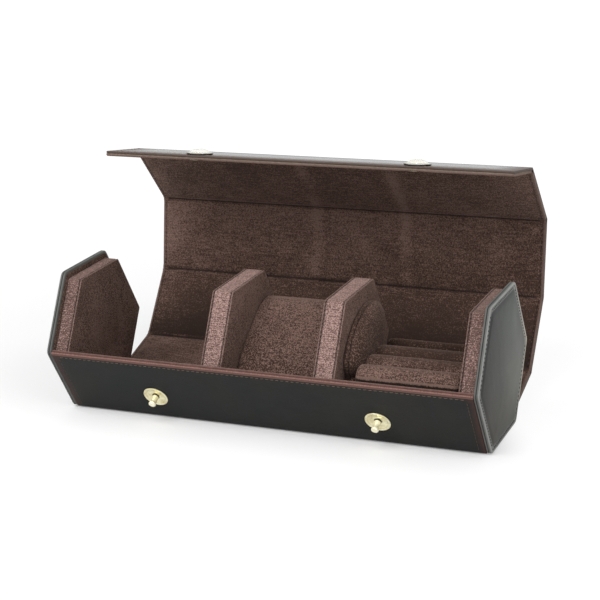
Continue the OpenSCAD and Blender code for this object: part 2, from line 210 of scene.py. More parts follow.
def quads(rows, cols, closeCols=False):
    # four-sided faces over a grid of points, row after row; each row may close on itself
    i = np.arange(rows - 1)[:, None]
    j = np.arange(cols if closeCols else cols - 1)[None, :]
    across = (j + 1) % cols
    corners = [i * cols + j, (i + 1) * cols + j, (i + 1) * cols + across, i * cols + across]
    return np.stack(corners, -1).reshape(-1, 4)


def slabPiece(name, xs, us, place, low, high, roundX=0.5, edgeU=(True, True), roundU=0.5,
              swell=None, extra=None, along=0.0, wrapped=False):
    # a sheet between v = low and v = high over the grid xs by us: v is the middle plus or minus the half
    # thickness times the fullness along both ways, so every edge is a half round or, at a fold, a square
    # end. place bends it into the row frame
    fx = fullness(xs, roundX)
    fu = fullness(us, roundU, *edgeU)
    x, u = np.meshgrid(xs, us, indexing="ij")
    full = fx[:, None] * fu[None, :]
    mid, half = (low + high) / 2, (high - low) / 2
    bumpTop, bumpLow = swell(x, u) if swell else (0, 0)
    sides = []
    for s, bump in ((1, bumpTop), (-1, bumpLow)):
        v = mid + s * (half + bump) * full
        sides.append(np.stack([*place(x, u, v)], -1).reshape(-1, 3) * mm)
    verts = np.concatenate(sides)
    f = quads(len(xs), len(us))
    faces = np.concatenate([f, f[:, ::-1] + len(sides[0])])
    flatOne = np.stack([x, u + along, np.zeros_like(x)], -1).reshape(-1, 3)
    ends = np.full_like(x, farAway)
    if edgeU[0]:
        ends = np.minimum(ends, u - us[0])
    if edgeU[1]:
        ends = np.minimum(ends, us[-1] - u)
    away = np.minimum(ends, np.minimum(x - xs[0], xs[-1] - x))  # distance to the nearest cut edge
    raw = ends if wrapped else away  # where the ends are wrapped, the side edges show no cut
    attributes = {"away": np.tile(away.ravel(), 2), "raw": np.tile(raw.ravel(), 2)}
    for key, fn in (extra or {}).items():
        attributes[key] = np.tile(np.broadcast_to(fn(x, u), x.shape).ravel(), 2)
    return finishMesh(name, verts, faces, np.tile(flatOne, (2, 1)), attributes)


def panelPlace(p, deg):
    # point = p + u along the panel's heading + v along its left normal
    c, s = heading(deg)
    return lambda x, u, v: (x, p[0] + u * c - v * s, p[1] + u * s + v * c)


def sixSided(inset, apo, midZ, cornerR, angles):
    # a six-sided outline with rounded corners, at each inset: its radius comes from a smooth maximum over
    # the six side planes, taken as a high power mean
    a = np.maximum(apo - inset, 1e-4)
    p = math.log(2) / (cornerShare * cornerR / (apo / math.cos(math.pi / 6)))
    normals = np.radians(30 + 60 * np.arange(6))
    c = np.maximum(np.cos(angles[:, None] - normals[None, :]), 1e-9)
    biggest = c.max(1)
    mean = biggest * ((c / biggest[:, None]) ** p).sum(1) ** (1 / p)
    r = a[:, None] / mean[None, :]
    return r * np.cos(angles)[None, :], midZ + r * np.sin(angles)[None, :]


def sixAngles(apo):
    # directions round a six-sided outline, close together near its corners
    half = apo * math.tan(math.pi / 6)
    fromCorner = np.array([0, 0.2, 0.45, 0.8, 1.2, 1.8, 2.8, 4.5, 7.5, 11.5])
    s = np.concatenate([-half + fromCorner, [0], half - fromCorner[:0:-1]])
    one = np.arctan(s / apo)
    return np.concatenate([one + math.radians(30 + 60 * k) for k in range(6)])


def roundPiece(name, xs, insets, outline, extra):
    # an outline in the YZ plane carried along X: row k stands at xs[k] and is moved in by insets[k].
    # extra holds one value a row
    y, z = outline(np.asarray(insets, float))
    rows, cols = y.shape
    x = np.repeat(np.asarray(xs, float)[:, None], cols, 1)
    verts = np.stack([x, y, z], -1).reshape(-1, 3) * mm
    faces = quads(rows, cols, closeCols=True)
    middle = rows // 2
    run = np.concatenate([[0], np.cumsum(np.hypot(np.diff(y[middle]), np.diff(z[middle])))])
    down = np.concatenate([[0], np.cumsum(np.hypot(np.diff(xs), np.diff(insets)))])
    flat = [np.repeat(down[:, None], cols, 1), np.repeat(run[None, :], rows, 0), np.zeros_like(x)]
    attributes = {"away": farAway, "raw": farAway, "dotted": 1.0}
    for key, values in extra.items():
        attributes[key] = np.repeat(np.asarray(values, float)[:, None], cols, 1).ravel()
    return finishMesh(name, verts, faces, np.stack(flat, -1).reshape(-1, 3), attributes)


def stitchRow(name, start, end, normal, body, values, material, skipEnds=0.0):
    # a row of stitches from start to end: each is a short round-ended bead, flattened and sunk at its ends
    start, end, normal = (np.asarray(q, float) for q in (start, end, normal))
    length = np.linalg.norm(end - start) - 2 * skipEnds
    t = (end - start) / np.linalg.norm(end - start)
    pitch = values["stitch"] + values["gap"]
    count = max(1, int(length // pitch))
    first = start + t * (skipEnds + (length - count * pitch) / 2 + pitch / 2)
    side = np.cross(normal, t)
    phi = np.linspace(0, math.pi, beadShape["rings"])[:, None]
    ang = np.linspace(0, 2 * math.pi, beadShape["sides"], endpoint=False)[None, :]
    along = -np.cos(phi) * values["stitch"] / 2 + 0 * ang
    girth = np.sin(phi) ** beadShape["blunt"]
    sunk = (np.cos(phi) ** 4) * values["thread"] * beadShape["sunk"]
    lift = girth * np.sin(ang) * values["thread"] * beadShape["flat"] - sunk + 0 * ang
    wide = girth * np.cos(ang) * values["thread"]
    one = along[..., None] * t + lift[..., None] * normal + wide[..., None] * side
    one = one + (along * math.tan(math.radians(values["slant"])))[..., None] * side
    centres = first + t * (np.arange(count) * pitch)[:, None]
    verts = (centres[:, None, None, :] + one[None]).reshape(-1, 3) * mm
    per = phi.size * ang.size
    f = quads(phi.size, ang.size, closeCols=True)
    faces = (f[None] + (np.arange(count) * per)[:, None, None]).reshape(-1, 4)
    number = np.repeat(np.arange(count), per)
    flat = np.stack([number * beadShape["twist"], np.tile(along.ravel(), count), np.zeros(count * per)], -1)
    obj = finishMesh(name, verts, faces, flat, {"away": farAway})
    obj.data.materials.append(material)
    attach(obj, body)
    return obj


class Wire:
    # one value in a shader: + - * and / add the Math nodes, and numbers alone stay numbers
    def __init__(self, shade, socket):
        self.shade, self.socket = shade, socket

    def math(self, operation, *values):
        return self.shade.node("ShaderNodeMath", {"operation": operation}, dict(enumerate(values)))

    __add__ = __radd__ = lambda self, other: self.math("ADD", self, other)
    __sub__ = lambda self, other: self.math("SUBTRACT", self, other)
    __rsub__ = lambda self, other: self.math("SUBTRACT", other, self)
    __mul__ = lambda self, other: self.math("MULTIPLY", self, other)
    __truediv__ = lambda self, other: self.math("DIVIDE", self, other)
    __neg__ = lambda self: self.math("MULTIPLY", self, -1.0)
    sine = lambda self: self.math("SINE", self)
    size = lambda self: self.math("ABSOLUTE", self)
    most = lambda self, other: self.math("MAXIMUM", self, other)

    def step(self, low, high, toLow=0.0, toHigh=1.0, kind="SMOOTHSTEP"):
        # smooth step of this value from low to high
        values = {"Value": self, "From Min": low, "From Max": high, "To Min": toLow, "To Max": toHigh}
        return self.shade.node("ShaderNodeMapRange", {"interpolation_type": kind}, values)


class Shade:
    # the nodes of one material, or of the tree handed in
    def __init__(self, name, tree=None):
        if tree is None:
            self.material = bpy.data.materials.new(name)
            self.material.use_nodes = True
            tree = self.material.node_tree
        self.tree = tree
        tree.nodes.clear()

    def put(self, socket, value):
        # a wire is linked, a colour gets its alpha, anything else is a plain value
        if isinstance(value, Wire):
            self.tree.links.new(value.socket, socket)
        elif isinstance(value, (tuple, list)):
            socket.default_value = (*value, 1) if len(value) == 3 and socket.type == "RGBA" else value
        else:
            socket.default_value = value

    def node(self, kind, settings=None, values=None, out=0):
        made = self.tree.nodes.new(kind)
        for key, value in (settings or {}).items():
            setattr(made, key, value)
        for key, value in (values or {}).items():
            self.put(made.inputs[key], value)
        return Wire(self, made.outputs[out])

    def place(self, attribute=None):
        if attribute:
            return self.node("ShaderNodeAttribute", {"attribute_name": attribute}, out="Vector")
        return self.node("ShaderNodeTexCoord", out="Object")

    def number(self, attribute):
        return self.node("ShaderNodeAttribute", {"attribute_name": attribute}, out="Fac")

    def stretch(self, vector, scale):
        return self.node("ShaderNodeVectorMath", {"operation": "MULTIPLY"}, {0: vector, 1: scale})

    def part(self, vector, axis):
        return self.node("ShaderNodeSeparateXYZ", None, {0: vector}, out=axis)

    def noise(self, vector, scale, detail=2.0, rough=0.5, distort=0.0):
        return self.node("ShaderNodeTexNoise", None, {"Vector": vector, "Scale": scale, "Detail": detail,
                                                      "Roughness": rough, "Distortion": distort})

    def cells(self, vector, scale, feature="F1"):
        values = {"Vector": vector, "Scale": scale}
        return self.node("ShaderNodeTexVoronoi", {"feature": feature}, values, out="Distance")

    def mix(self, factor, a, b):
        made = self.tree.nodes.new("ShaderNodeMix")
        made.data_type = "RGBA"
        for key, value in ((0, factor), (6, a), (7, b)):
            self.put(made.inputs[key], value)
        return Wire(self, made.outputs[2])

    def bump(self, height, strength, distance, normal=None):
        values = {"Height": height, "Strength": strength, "Distance": distance}
        if normal is not None:
            values["Normal"] = normal
        return self.node("ShaderNodeBump", None, values, out="Normal")

    def output(self, kind, shader):
        out = self.tree.nodes.new(kind)
        self.tree.links.new(shader.socket, out.inputs["Surface"])

    def finish(self, settings):
        self.output("ShaderNodeOutputMaterial", self.node("ShaderNodeBsdfPrincipled", None, settings))
        return self.material


# finishes: a dark hide, waxed on the lid and dull elsewhere, with pale burnished edges
hide = {
    "dark": (0.0125, 0.0130, 0.0115), "warm": (0.020, 0.0155, 0.0125), "haze": (0.034, 0.034, 0.030),
    "burnish": (0.050, 0.024, 0.019), "cut": (0.078, 0.053, 0.044), "cutDark": (0.045, 0.029, 0.024),
    "roughness": 0.4, "shine": 0.36, "wax": 1.0, "waxRough": 0.08, "waxIor": 1.32, "burnishWidth": 3.4,
}
hideScale = {"slow": 22.0, "cloud": 75.0, "pores": 1500.0, "grain": 2600.0, "creases": 620.0, "edge": 260.0}
rimTone = {"shade": (0.010, 0.011, 0.010), "seam": (0.005, 0.005, 0.005)}
rubLine = (0.03, 0.013, 0.011)


def oiledHide(name, values, burnished=1.0, rim=False):
    s = Shade(name)
    flat, place, away, raw = s.place("flat"), s.place(), s.number("away"), s.number("raw")
    slow = s.noise(place, hideScale["slow"], 3.0, 0.55, 0.6)
    cloud = s.noise(place, hideScale["cloud"], 4.0, 0.6)
    pores = s.cells(place, hideScale["pores"])
    grain = s.noise(place, hideScale["grain"], 3.0, 0.6)
    creases = s.cells(place, hideScale["creases"], "DISTANCE_TO_EDGE")
    base = s.mix(slow.step(0.38, 0.68), values["dark"], values["warm"])
    base = s.mix(cloud.step(0.35, 0.75) * 0.3, base, values["haze"])
    edge = away + (s.noise(place, hideScale["edge"], 3.0) - 0.5) * 2.4
    rubbed = (1 - edge.step(0.3, values["burnishWidth"])) * burnished
    base = s.mix(rubbed * (grain.step(0.3, 0.65) * 0.35 + 0.6), base, values["burnish"])
    topRub = values.get("topRub")
    if topRub:  # lighter hide where the top edge is rubbed, with a dark line between it and the cut
        base = s.mix((1 - raw.step(1.0, 1.7)) * 0.85, base, topRub)
    # painted light and shade on the end caps: a painted sheen over the face, strongest towards its back, and
    # painted shade over its upper part inside the bead
    if rim:
        across, up = s.part(place, "Y") * 1000 + (slow - 0.5) * 30, s.part(place, "Z") * 1000
        lit = s.mix(up.step(5, 90), values["paintedSheen"], values["paintedSheenTop"])
        base = s.mix(across.step(-46, 46), base, lit)
        base = s.mix(s.number("shade") * up.step(14, 50) * 0.7, base, rimTone["shade"])
        # painted highlight on the bead, brighter towards the back, and a painted sheen on the strip inside it
        bead = s.mix(across.step(8, 44), values["bead"], values["beadLit"])
        base = s.mix(s.number("rim") * (cloud.step(0.2, 0.6) * 0.3 + 0.7), base, bead)
    cut = 1 - (raw + (grain - 0.5) * 0.2).step(0.10, 0.45)
    fibre = s.noise(s.stretch(flat, (1.0, 6.0, 6.0)), 1.6, 3.0)
    base = s.mix(cut, base, s.mix(fibre.step(0.35, 0.65) * 0.7, values["cut"], values["cutDark"]))
    if topRub:
        base = s.mix(raw.step(0.30, 0.42) * (1 - raw.step(0.46, 0.62)) * 0.8, base, rubLine)
    if rim:
        base = s.mix(s.number("seam") * (1 - across.step(8, 40) * 0.9), base, rimTone["seam"])
    height = grain * 0.35 + pores.step(0.0, 0.6) * 0.45 + creases.step(0.0, 0.12) * 0.5
    normal = s.bump(height, 0.2, 0.0002)
    normal = s.bump(slow, 0.12, 0.004, normal)
    rough = values["roughness"] + (cloud - 0.5) * 0.16 + (grain - 0.5) * 0.08 + rubbed * 0.1 + cut * 0.25
    return s.finish({"Base Color": base, "Roughness": rough, "Normal": normal,
                     "Specular IOR Level": values["shine"], "Coat Weight": (1 - rubbed * 0.9) * values["wax"],
                     "Coat Roughness": values["waxRough"], "Coat IOR": values["waxIor"]})


suedeTone = {
    "deep": (0.032, 0.0172, 0.0124), "mid": (0.080, 0.0462, 0.0358), "light": (0.185, 0.116, 0.095),
    "sheen": 0.20, "sheenTint": (0.95, 0.70, 0.60), "grain": 2.2, "streak": 1.0, "blotch": 0.5, "lift": 0.0,
    "rib": 0.0, "ribPitch": 1.05, "dots": "", "dotPitch": 2.0, "paintedBackShade": 0.0, "low": 0.0, "edgeWide": 0.5,
    "turn": None, "hem": None,
}
napScale = {"slow": 30.0, "patch": 95.0, "hair": 1900.0, "fleck": 800.0, "streak": 1.05}
# dark suede colours: inside is the near black of deep painted shade, gap is the painted shade of the gap
# under the seat's front, seam is the dark of the seams
suedeDark = {"inside": (0.014, 0.0085, 0.0065), "gap": (0.006, 0.004, 0.003), "seam": (0.005, 0.003, 0.0025)}


def suede(name, values, edgeTone=None, strokes=()):
    # brushed nap: slow blotches where the nap lies the other way, streaks along the weave, short hairs
    # and flecks. strokes are (x in mm, width in mm, amount): broad lighter marks where the nap was pressed
    s = Shade(name)
    flat, place = s.place("flat"), s.place()
    slow = s.noise(place, napScale["slow"], 2.0, 0.5, 0.9)
    patch = s.noise(place, napScale["patch"], 3.0, 0.55, 0.4)
    hair = s.noise(place, napScale["hair"], 2.0, 0.7)
    fleck = s.noise(place, napScale["fleck"], 2.0, 0.6)
    streak = s.noise(s.stretch(flat, (0.10, 1.0, 1.0)), napScale["streak"], 2.0, 0.6)
    rib = (s.part(flat, "Y") * (2 * math.pi / values["ribPitch"]) + (fleck - 0.5) * 4.0).sine() * 0.5
    tone = ((slow - 0.5) * 1.5 + (patch - 0.5) * 0.9) * values["blotch"] + 0.5 + values["lift"]
    tone = tone + ((hair - 0.5) * 1.45 + (fleck - 0.5) * 0.36) * values["grain"]
    tone = tone + (streak - 0.5) * values["streak"]
    if values["rib"]:
        tone = tone + rib * values["rib"]
    # painted light and shade from each piece's shade values
    shade = s.number("shade")
    tone = tone + shade
    if values["low"]:  # darker towards the foot
        tone = tone - (1 - s.part(place, "Z").step(0.028, 0.055)) * values["low"]
    if values["paintedBackShade"]:  # painted shade, darker towards the back
        tone = tone - s.part(place, "Y").step(-0.030, -0.002) * values["paintedBackShade"]
    for x, width, amount in strokes:
        d = (s.part(place, "X") * 1000 - x + (slow - 0.5) * 5) / width
        upper = s.part(place, "Z").step(0.040, 0.050)
        uneven = patch.step(0.1, 0.7) * amount * 0.5 + amount * 0.5
        tone = tone + (1 - d.size().step(0.0, 1.0)) * upper * uneven
    colour = s.mix(tone.step(0.0, 0.6), values["deep"], values["mid"])
    colour = s.mix(tone.step(0.45, 1.25), colour, values["light"])
    # painted shade: where the painted shade is deep, the colour goes towards a near black
    colour = s.mix((-shade).step(0.15, 0.75) * 0.75, colour, suedeDark["inside"])
    if edgeTone:
        edge = 1 - s.number("raw").step(values["edgeWide"] - 0.4, values["edgeWide"])
        colour = s.mix(edge * (hair.step(0.2, 0.6) * 0.4 + 0.5), colour, edgeTone)
    if values["turn"]:  # the strip turned over the edge catches the light
        lit = s.mix(tone.step(0.0, 1.1), *(tuple(c * k for c in values["turn"]) for k in (0.55, 1.3)))
        colour = s.mix(s.number("turned"), colour, lit)
    if values["hem"]:  # a pale hem along the foot of the front, and painted shade of the gap under it
        y, z = values["hem"]
        front = 1 - s.part(place, "Y").step(y * mm, (y + 1.5) * mm)
        up = s.part(place, "Z") * 1000 + (fleck - 0.5) * 0.5
        hem = front * up.step(z + 0.8, z + 1.1) * (1 - up.step(z + 1.9, z + 2.3)) * 0.7
        colour = s.mix(hem, colour, values["light"])
        # painted shade of the gap between the seat's front and the front wall
        colour = s.mix(front * (1 - up.step(z + 0.5, z + 0.9)) * 0.9, colour, suedeDark["gap"])
    dots = 1.0  # a dotted seam, light between its stitches
    if values["dots"]:
        wave = (s.part(flat, values["dots"]) * (2 * math.pi / values["dotPitch"])).sine()
        dots = 1 - (0.3 - wave * 0.3) * s.number("dotted")
    seam = s.number("seam") * (fleck.step(0.35, 0.6) * 0.25 + 0.75) * dots
    colour = s.mix(seam, colour, suedeDark["seam"])
    height = hair * 0.8 + fleck * 0.5 + streak * 0.5 + rib * values["rib"]
    normal = s.bump(height, 0.6, 0.0004)
    rough = 0.92 + (hair - 0.5) * 0.1
    return s.finish({"Base Color": colour, "Roughness": rough, "Normal": normal,
                     "Specular IOR Level": 0.15, "Sheen Roughness": 0.45, "Sheen Weight": values["sheen"],
                     "Sheen Tint": values["sheenTint"]})


brassTone = {"pale": (0.95, 0.90, 0.62), "shade": (0.66, 0.56, 0.30), "tarnishAndShade": (0.03, 0.022, 0.01),
             "roughness": 0.3, "beat": 1.0}
metalScale = {"cloud": 260.0, "scratch": 420.0, "beat": 700.0}


def paleBrass(name, values):
    s = Shade(name)
    place = s.place()
    cloud = s.noise(place, metalScale["cloud"], 3.0, 0.55)
    scratch = s.noise(s.stretch(place, (1.0, 14.0, 1.0)), metalScale["scratch"], 2.0, 0.7)
    beat = s.cells(place, metalScale["beat"], "SMOOTH_F1")
    colour = s.mix(cloud.step(0.38, 0.7) * 0.75, values["pale"], values["shade"])
    # tarnish in the hollows and painted shade under the cap's rim, under the pin's head and round the pin's
    # root
    colour = s.mix(s.number("tarnishAndShade"), colour, values["tarnishAndShade"])
    normal = s.bump(cloud * 0.5 + scratch * 0.3 + beat * values["beat"], 0.5, 0.0008)
    rough = values["roughness"] + (cloud - 0.5) * 0.14 + (scratch - 0.5) * 0.08
    return s.finish({"Base Color": colour, "Metallic": 1.0, "Roughness": rough, "Normal": normal})


def plainFibre(name, colour, scale=600.0):
    s = Shade(name)
    fibre = s.noise(s.place(), scale, 4.0, 0.7)
    tones = (tuple(min(1, c * k) for c in colour) for k in (0.7, 1.2))
    return s.finish({"Base Color": s.mix(fibre.step(0.3, 0.75), *tones), "Roughness": 0.85,
                     "Normal": s.bump(fibre, 0.4, 0.0003), "Specular IOR Level": 0.25})


def thread(name, colour):
    s = Shade(name)
    flat = s.place("flat")
    twist = (s.part(flat, "X") * 5.0 + s.part(flat, "Y") * 11.0).sine() * 0.5 + 0.5
    tone = s.mix(twist, tuple(c * 0.55 for c in colour), colour)
    tone = s.mix(s.noise(s.place(), 500.0, 2.0).step(0.4, 0.7) * 0.5, tone, tuple(c * 0.5 for c in colour))
    return s.finish({"Base Color": tone, "Roughness": 0.75, "Specular IOR Level": 0.3,
                     "Normal": s.bump(twist, 0.4, 0.0002)})


hideMaterial = oiledHide("oiledHide", dict(hide, wax=0.5, shine=0.28), burnished=0.6)
# on the flap the rubbed band is wide and paler: partly rubbed hide, partly a painted warm highlight along the
# flap's front
flapHideMaterial = oiledHide("flapHide", dict(hide, burnish=(0.085, 0.059, 0.050), burnishWidth=18.0))
wallHideMaterial = oiledHide("wallHide", dict(
    hide, dark=(0.0085, 0.0098, 0.0094), warm=(0.0125, 0.0118, 0.0100), haze=(0.021, 0.023, 0.0215),
    cut=(0.228, 0.124, 0.106), cutDark=(0.092, 0.046, 0.038), topRub=(0.155, 0.083, 0.070),
    roughness=0.5, shine=0.14, wax=0.02))
# end caps: a painted sheen over each face, a painted highlight on the bead round it, and painted shade inside
# the bead
capMaterial = oiledHide("capHide", dict(
    hide, dark=(0.012, 0.013, 0.0115), bead=(0.27, 0.274, 0.262), beadLit=(0.55, 0.52, 0.45),
    paintedSheen=(0.117, 0.117, 0.101), paintedSheenTop=(0.107, 0.124, 0.113),
    roughness=0.46, shine=0.16, wax=0.03, waxRough=0.25), burnished=0.0, rim=True)
napStrokes = ((-15.2, 5.0, 0.35), (32.5, 5.5, 0.5))
liningMaterial = suede("liningSuede", dict(suedeTone, dots="Y", edgeWide=1.2, grain=2.6),
                       edgeTone=(0.135, 0.090, 0.078), strokes=napStrokes)
wallSuedeMaterial = suede("wallSuede", suedeTone, edgeTone=(0.215, 0.13, 0.113))
faceTone = dict(suedeTone, blotch=0.9, streak=0.4, grain=4.4, dots="Y", lift=0.2, turn=(0.16, 0.102, 0.089))
padFaceMaterial = suede("padSuede", faceTone)
dividerFaceMaterial = suede("dividerSuede", dict(faceTone, lift=0.36))
bandTone = dict(suedeTone, deep=(0.085, 0.050, 0.043), mid=(0.19, 0.118, 0.102), light=(0.36, 0.24, 0.215),
                blotch=0.3, streak=0.9, grain=3.6, rib=0.3, dots="Y", lift=0.12)
bandMaterial = suede("bandSuede", bandTone)
padBandMaterial = suede("padBandSuede", dict(bandTone, lift=-0.28))
ringMaterial = suede("capRingSuede", dict(suedeTone, grain=3.6))
pillowMaterial = suede("pillowSuede", dict(suedeTone, blotch=0.6, streak=1.1, lift=0.26, grain=5.4, low=0.3))
seatMaterial = suede("seatSuede", dict(suedeTone, lift=0.14, blotch=0.6, grain=5.0, paintedBackShade=0.95,
                                       hem=(-27.0, 34.0)))
cheekMaterial = suede("cheekSuede", dict(suedeTone, lift=-0.32, blotch=0.6, grain=5.4, dots="Y"))
brassMaterial = paleBrass("paleBrass", brassTone)
postMaterial = paleBrass("postMetal", dict(brassTone, pale=(0.95, 0.92, 0.74), shade=(0.82, 0.75, 0.50),
                                           beat=0.1, roughness=0.5))
capMetalMaterial = paleBrass("capMetal", dict(brassTone, pale=(1.0, 0.99, 0.92), shade=(0.90, 0.87, 0.72),
                                              beat=0.2, roughness=0.16))
wireMaterial = plainFibre("springWire", (0.5, 0.5, 0.48), 900.0)
boardMaterial = plainFibre("greyBoard", (0.16, 0.12, 0.09))
stainedBoardMaterial = plainFibre("stainedBoard", (0.115, 0.060, 0.049))
coreMaterial = plainFibre("coreBoard", (0.30, 0.24, 0.17))
threadMaterial = thread("tanThread", (0.30, 0.21, 0.15))
wallThreadMaterial = thread("wallThread", (0.22, 0.165, 0.115))
darkThreadMaterial = thread("darkThread", (0.12, 0.065, 0.052))
blackThreadMaterial = thread("blackThread", (0.030, 0.031, 0.027))
print("watch case: finishes ready")


# outer leather
skin = {"over": 0.12, "foldReach": 2.4, "edgeRound": 0.55, "step": 3.0, "foldIn": 0.12, "foldOut": 0.10,
        "uneven": 0.05, "blendFrom": 0.5}
panelStart = np.concatenate([[0], np.cumsum(widths)]) + 60.0  # each panel's start along the laid-out hide
snapBore = {"leather": 3.2, "suede": 6.05}


def skinStations():
    edge = lidHalf + skin["over"]
    return stations(-edge, edge, skin["step"] * 2, skin["edgeRound"])


def panelSkins():
    reach = skin["foldReach"]
    for k, body in enumerate(lidBodies):
        last = body == "flap"
        high = widths[k] if last else widths[k] - reach
        us = stations(reach, high, skin["step"], skin["edgeRound"], False, last)

        def swell(x, u):
            return 0.0 * x, skin["uneven"] * hashNoise(x / 30, u / 30, 20 + k)
        obj = slabPiece(body + "_skin", skinStations(), us, panelPlace(folds[k], dirs[k]), -case["leather"],
                        0.0, skin["edgeRound"], (False, last), skin["edgeRound"], swell, along=panelStart[k])
        if last:
            bore(obj, *snapMiddles(), snapBore["leather"])
        obj.data.materials.append(flapHideMaterial if last else hideMaterial)
        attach(obj, body)
        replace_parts(obj, body + "_leather")
    print("watch case: lid leather")


def foldPlace(p, before, after):
    # across a fold: straight in the first panel's frame, then an arc about the fold point as s goes from -1
    # to 1, then straight in the second panel's frame
    def place(x, s, v):
        t = np.clip((s + 1) / 2, 0, 1)
        a = np.radians(before + (after - before) * t)
        u = np.where(s < -1, s + 1, np.where(s > 1, s - 1, 0))
        return x, p[0] + u * np.cos(a) - v * np.sin(a), p[1] + u * np.sin(a) + v * np.cos(a)
    return place


def foldSkins():
    reach = skin["foldReach"]
    near = np.linspace(-reach - 1, -1, 6)
    s = np.concatenate([near[:1], near, np.linspace(-1, 1, 11)[1:], -near[-2::-1], [reach + 1]])

    def ridge(x, s):
        return -skin["foldIn"] * np.exp(-(s / 1.6) ** 2), skin["foldOut"] * np.exp(-(s / 1.3) ** 2)
    for k, (below, above, before, after) in enumerate(foldPairs):
        obj = slabPiece(above + "_foldSkin", skinStations(), s, foldPlace(folds[k], before, after),
                        -case["leather"], 0.0, skin["edgeRound"], (False, False), skin["edgeRound"], ridge,
                        along=panelStart[k])
        obj.data.materials.append(hideMaterial)
        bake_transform(obj)
    print("watch case: leather over the folds")


shell = {"endRound": 0.4, "topRound": 0.5, "step": 3.0, "foldArc": 2.4, "bulge": 0.07}


def baseSkin():
    # floor and front wall in one length: s = 0 at the wall's top edge and frontWidth at the fold, where the
    # path turns on an arc and runs on along the floor to the back fold
    arc, turn = shell["foldArc"], corner(5, case["leather"])
    end = frontWidth + arc + (corner(0, case["leather"])[0] - turn[0] - skin["foldReach"])

    def place(x, s, v):
        over = np.clip((s - frontWidth) / arc, 0, 1)
        a = np.radians(300 + 60 * over)
        u = np.where(s < frontWidth, s - frontWidth, np.maximum(s - frontWidth - arc, 0))
        return x, turn[0] + u * np.cos(a) - v * np.sin(a), turn[1] + u * np.sin(a) + v * np.cos(a)

    def swell(x, u):
        inside = smooth(0, 6, u) * smooth(0, 6, frontWidth - u)
        return 0.0 * x, shell["bulge"] * hashNoise(x / 34, u / 20, 4) * inside
    xs = stations(-innerHalf, innerHalf, shell["step"] * 2, shell["endRound"])
    us = np.concatenate([stations(0, frontWidth, shell["step"], shell["topRound"], True, False)[:-1],
                         np.linspace(frontWidth, frontWidth + arc, 9)[1:],
                         stations(frontWidth + arc, end, shell["step"] * 2, 0.5, False, False)[2:]])
    obj = slabPiece("frontWall_skin", xs, us, place, -case["leather"], 0.0, shell["endRound"], (True, False),
                    shell["topRound"], swell, wrapped=True)
    obj.data.materials.append(wallHideMaterial)
    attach(obj, "base")
    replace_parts(obj, "base_leather")
    print("watch case: floor and front wall leather")


# end caps: a rounded bead round the edge, a stitched groove inside it, then a low crown to the middle
cap = {"bead": 1.3, "groove": 0.36, "crown": 1.1, "crownPower": 2.2, "edgeRound": 0.75, "stitchIn": 0.9,
       "sheenStripWide": 1.5, "standOff": 0.02, "pipingAt": 1.12}


def capOutline(angles):
    return lambda n: sixSided(n, apothem, apothem, case["capCorner"], angles)


def capSkins():
    # the profile is a list of (x, inset), from the hidden back over the rim and the bead to the face's middle
    x0, x1 = innerHalf + cap["standOff"], case["length"] / 2
    r, bead, groove, middle = cap["edgeRound"], cap["bead"], cap["groove"], apothem - 0.01
    profile = [(x0, n) for n in (middle, 24.0, 12.0, 5.0)]
    rear = ((0, 1.4), (0, 0.55), (0.12, 0.2), (0.4, 0.0), (0.75, 0.0), (1.0, 0.1), (cap["pipingAt"], 0.32),
            (1.24, 0.1), (1.45, 0.0))
    profile += [(x0 + d, n) for d, n in rear]
    profile += [(x1 - r + r * math.sin(a), r - r * math.cos(a)) for a in np.linspace(0, math.pi / 2, 6)]
    profile += [(x1 + 0.02, bead - 0.5), (x1 - 0.12, bead - 0.22)]
    hollow = ((0.6, 0), (1, 0.25), (0.85, 0.6), (0.7, 1.2), (0.6, 1.6), (0.45, 2.1))
    profile += [(x1 - groove * q, bead + d) for q, d in hollow]
    inner = np.clip(np.array([3.0, 4.5, 6.5, 9, 12, 16, 20, 25, 30, middle]) + bead, 0, middle)
    rise = cap["crown"] + groove * 0.2
    profile += [(x1 - groove * 0.2 + rise * (1 - (1 - (n - bead) / (apothem - bead)) ** cap["crownPower"]), n)
                for n in inner]
    x, n = np.array(profile).T
    onFace = x > x1 - 1
    pale = bead + cap["sheenStripWide"]  # the stitching runs on a strip of painted sheen inside the bead
    seam = 0.5 * smooth(bead - 0.3, bead, n) * (1 - smooth(bead + 0.2, bead + 0.5, n)) * onFace
    seam = np.maximum(seam, 0.95 * np.exp(-((x - x0 - cap["pipingAt"]) / 0.2) ** 2) * (n < 0.5))
    # shade is painted shade over the face inside the strip; rim is a painted highlight over the bead,
    # strongest on its crest, and a painted sheen on the strip where the stitching runs
    shade = np.exp(-np.clip(n - pale, 0, farAway) / 7) * (n > pale - 0.3) * onFace
    crest = np.exp(-((x - x1 + 0.1) / 0.3) ** 2) * (n < bead - 0.1)
    rim = (1 - smooth(bead - 0.2, bead + 0.3, n)) * (0.29 + 0.71 * crest)
    strip = smooth(bead, bead + 0.4, n) * (1 - smooth(pale - 0.2, pale + 0.4, n)) * onFace
    rim = np.maximum(rim, 0.55 * strip)
    for s, side in ((-1, "left"), (1, "right")):
        obj = roundPiece(side + "_cap_skin", x * s, n, capOutline(sixAngles(apothem)),
                         {"seam": seam, "rim": rim, "shade": shade})
        obj.data.materials.append(capMaterial)
        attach(obj, "base")
        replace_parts(obj, side + "_cap_leather")
    print("watch case: end caps")


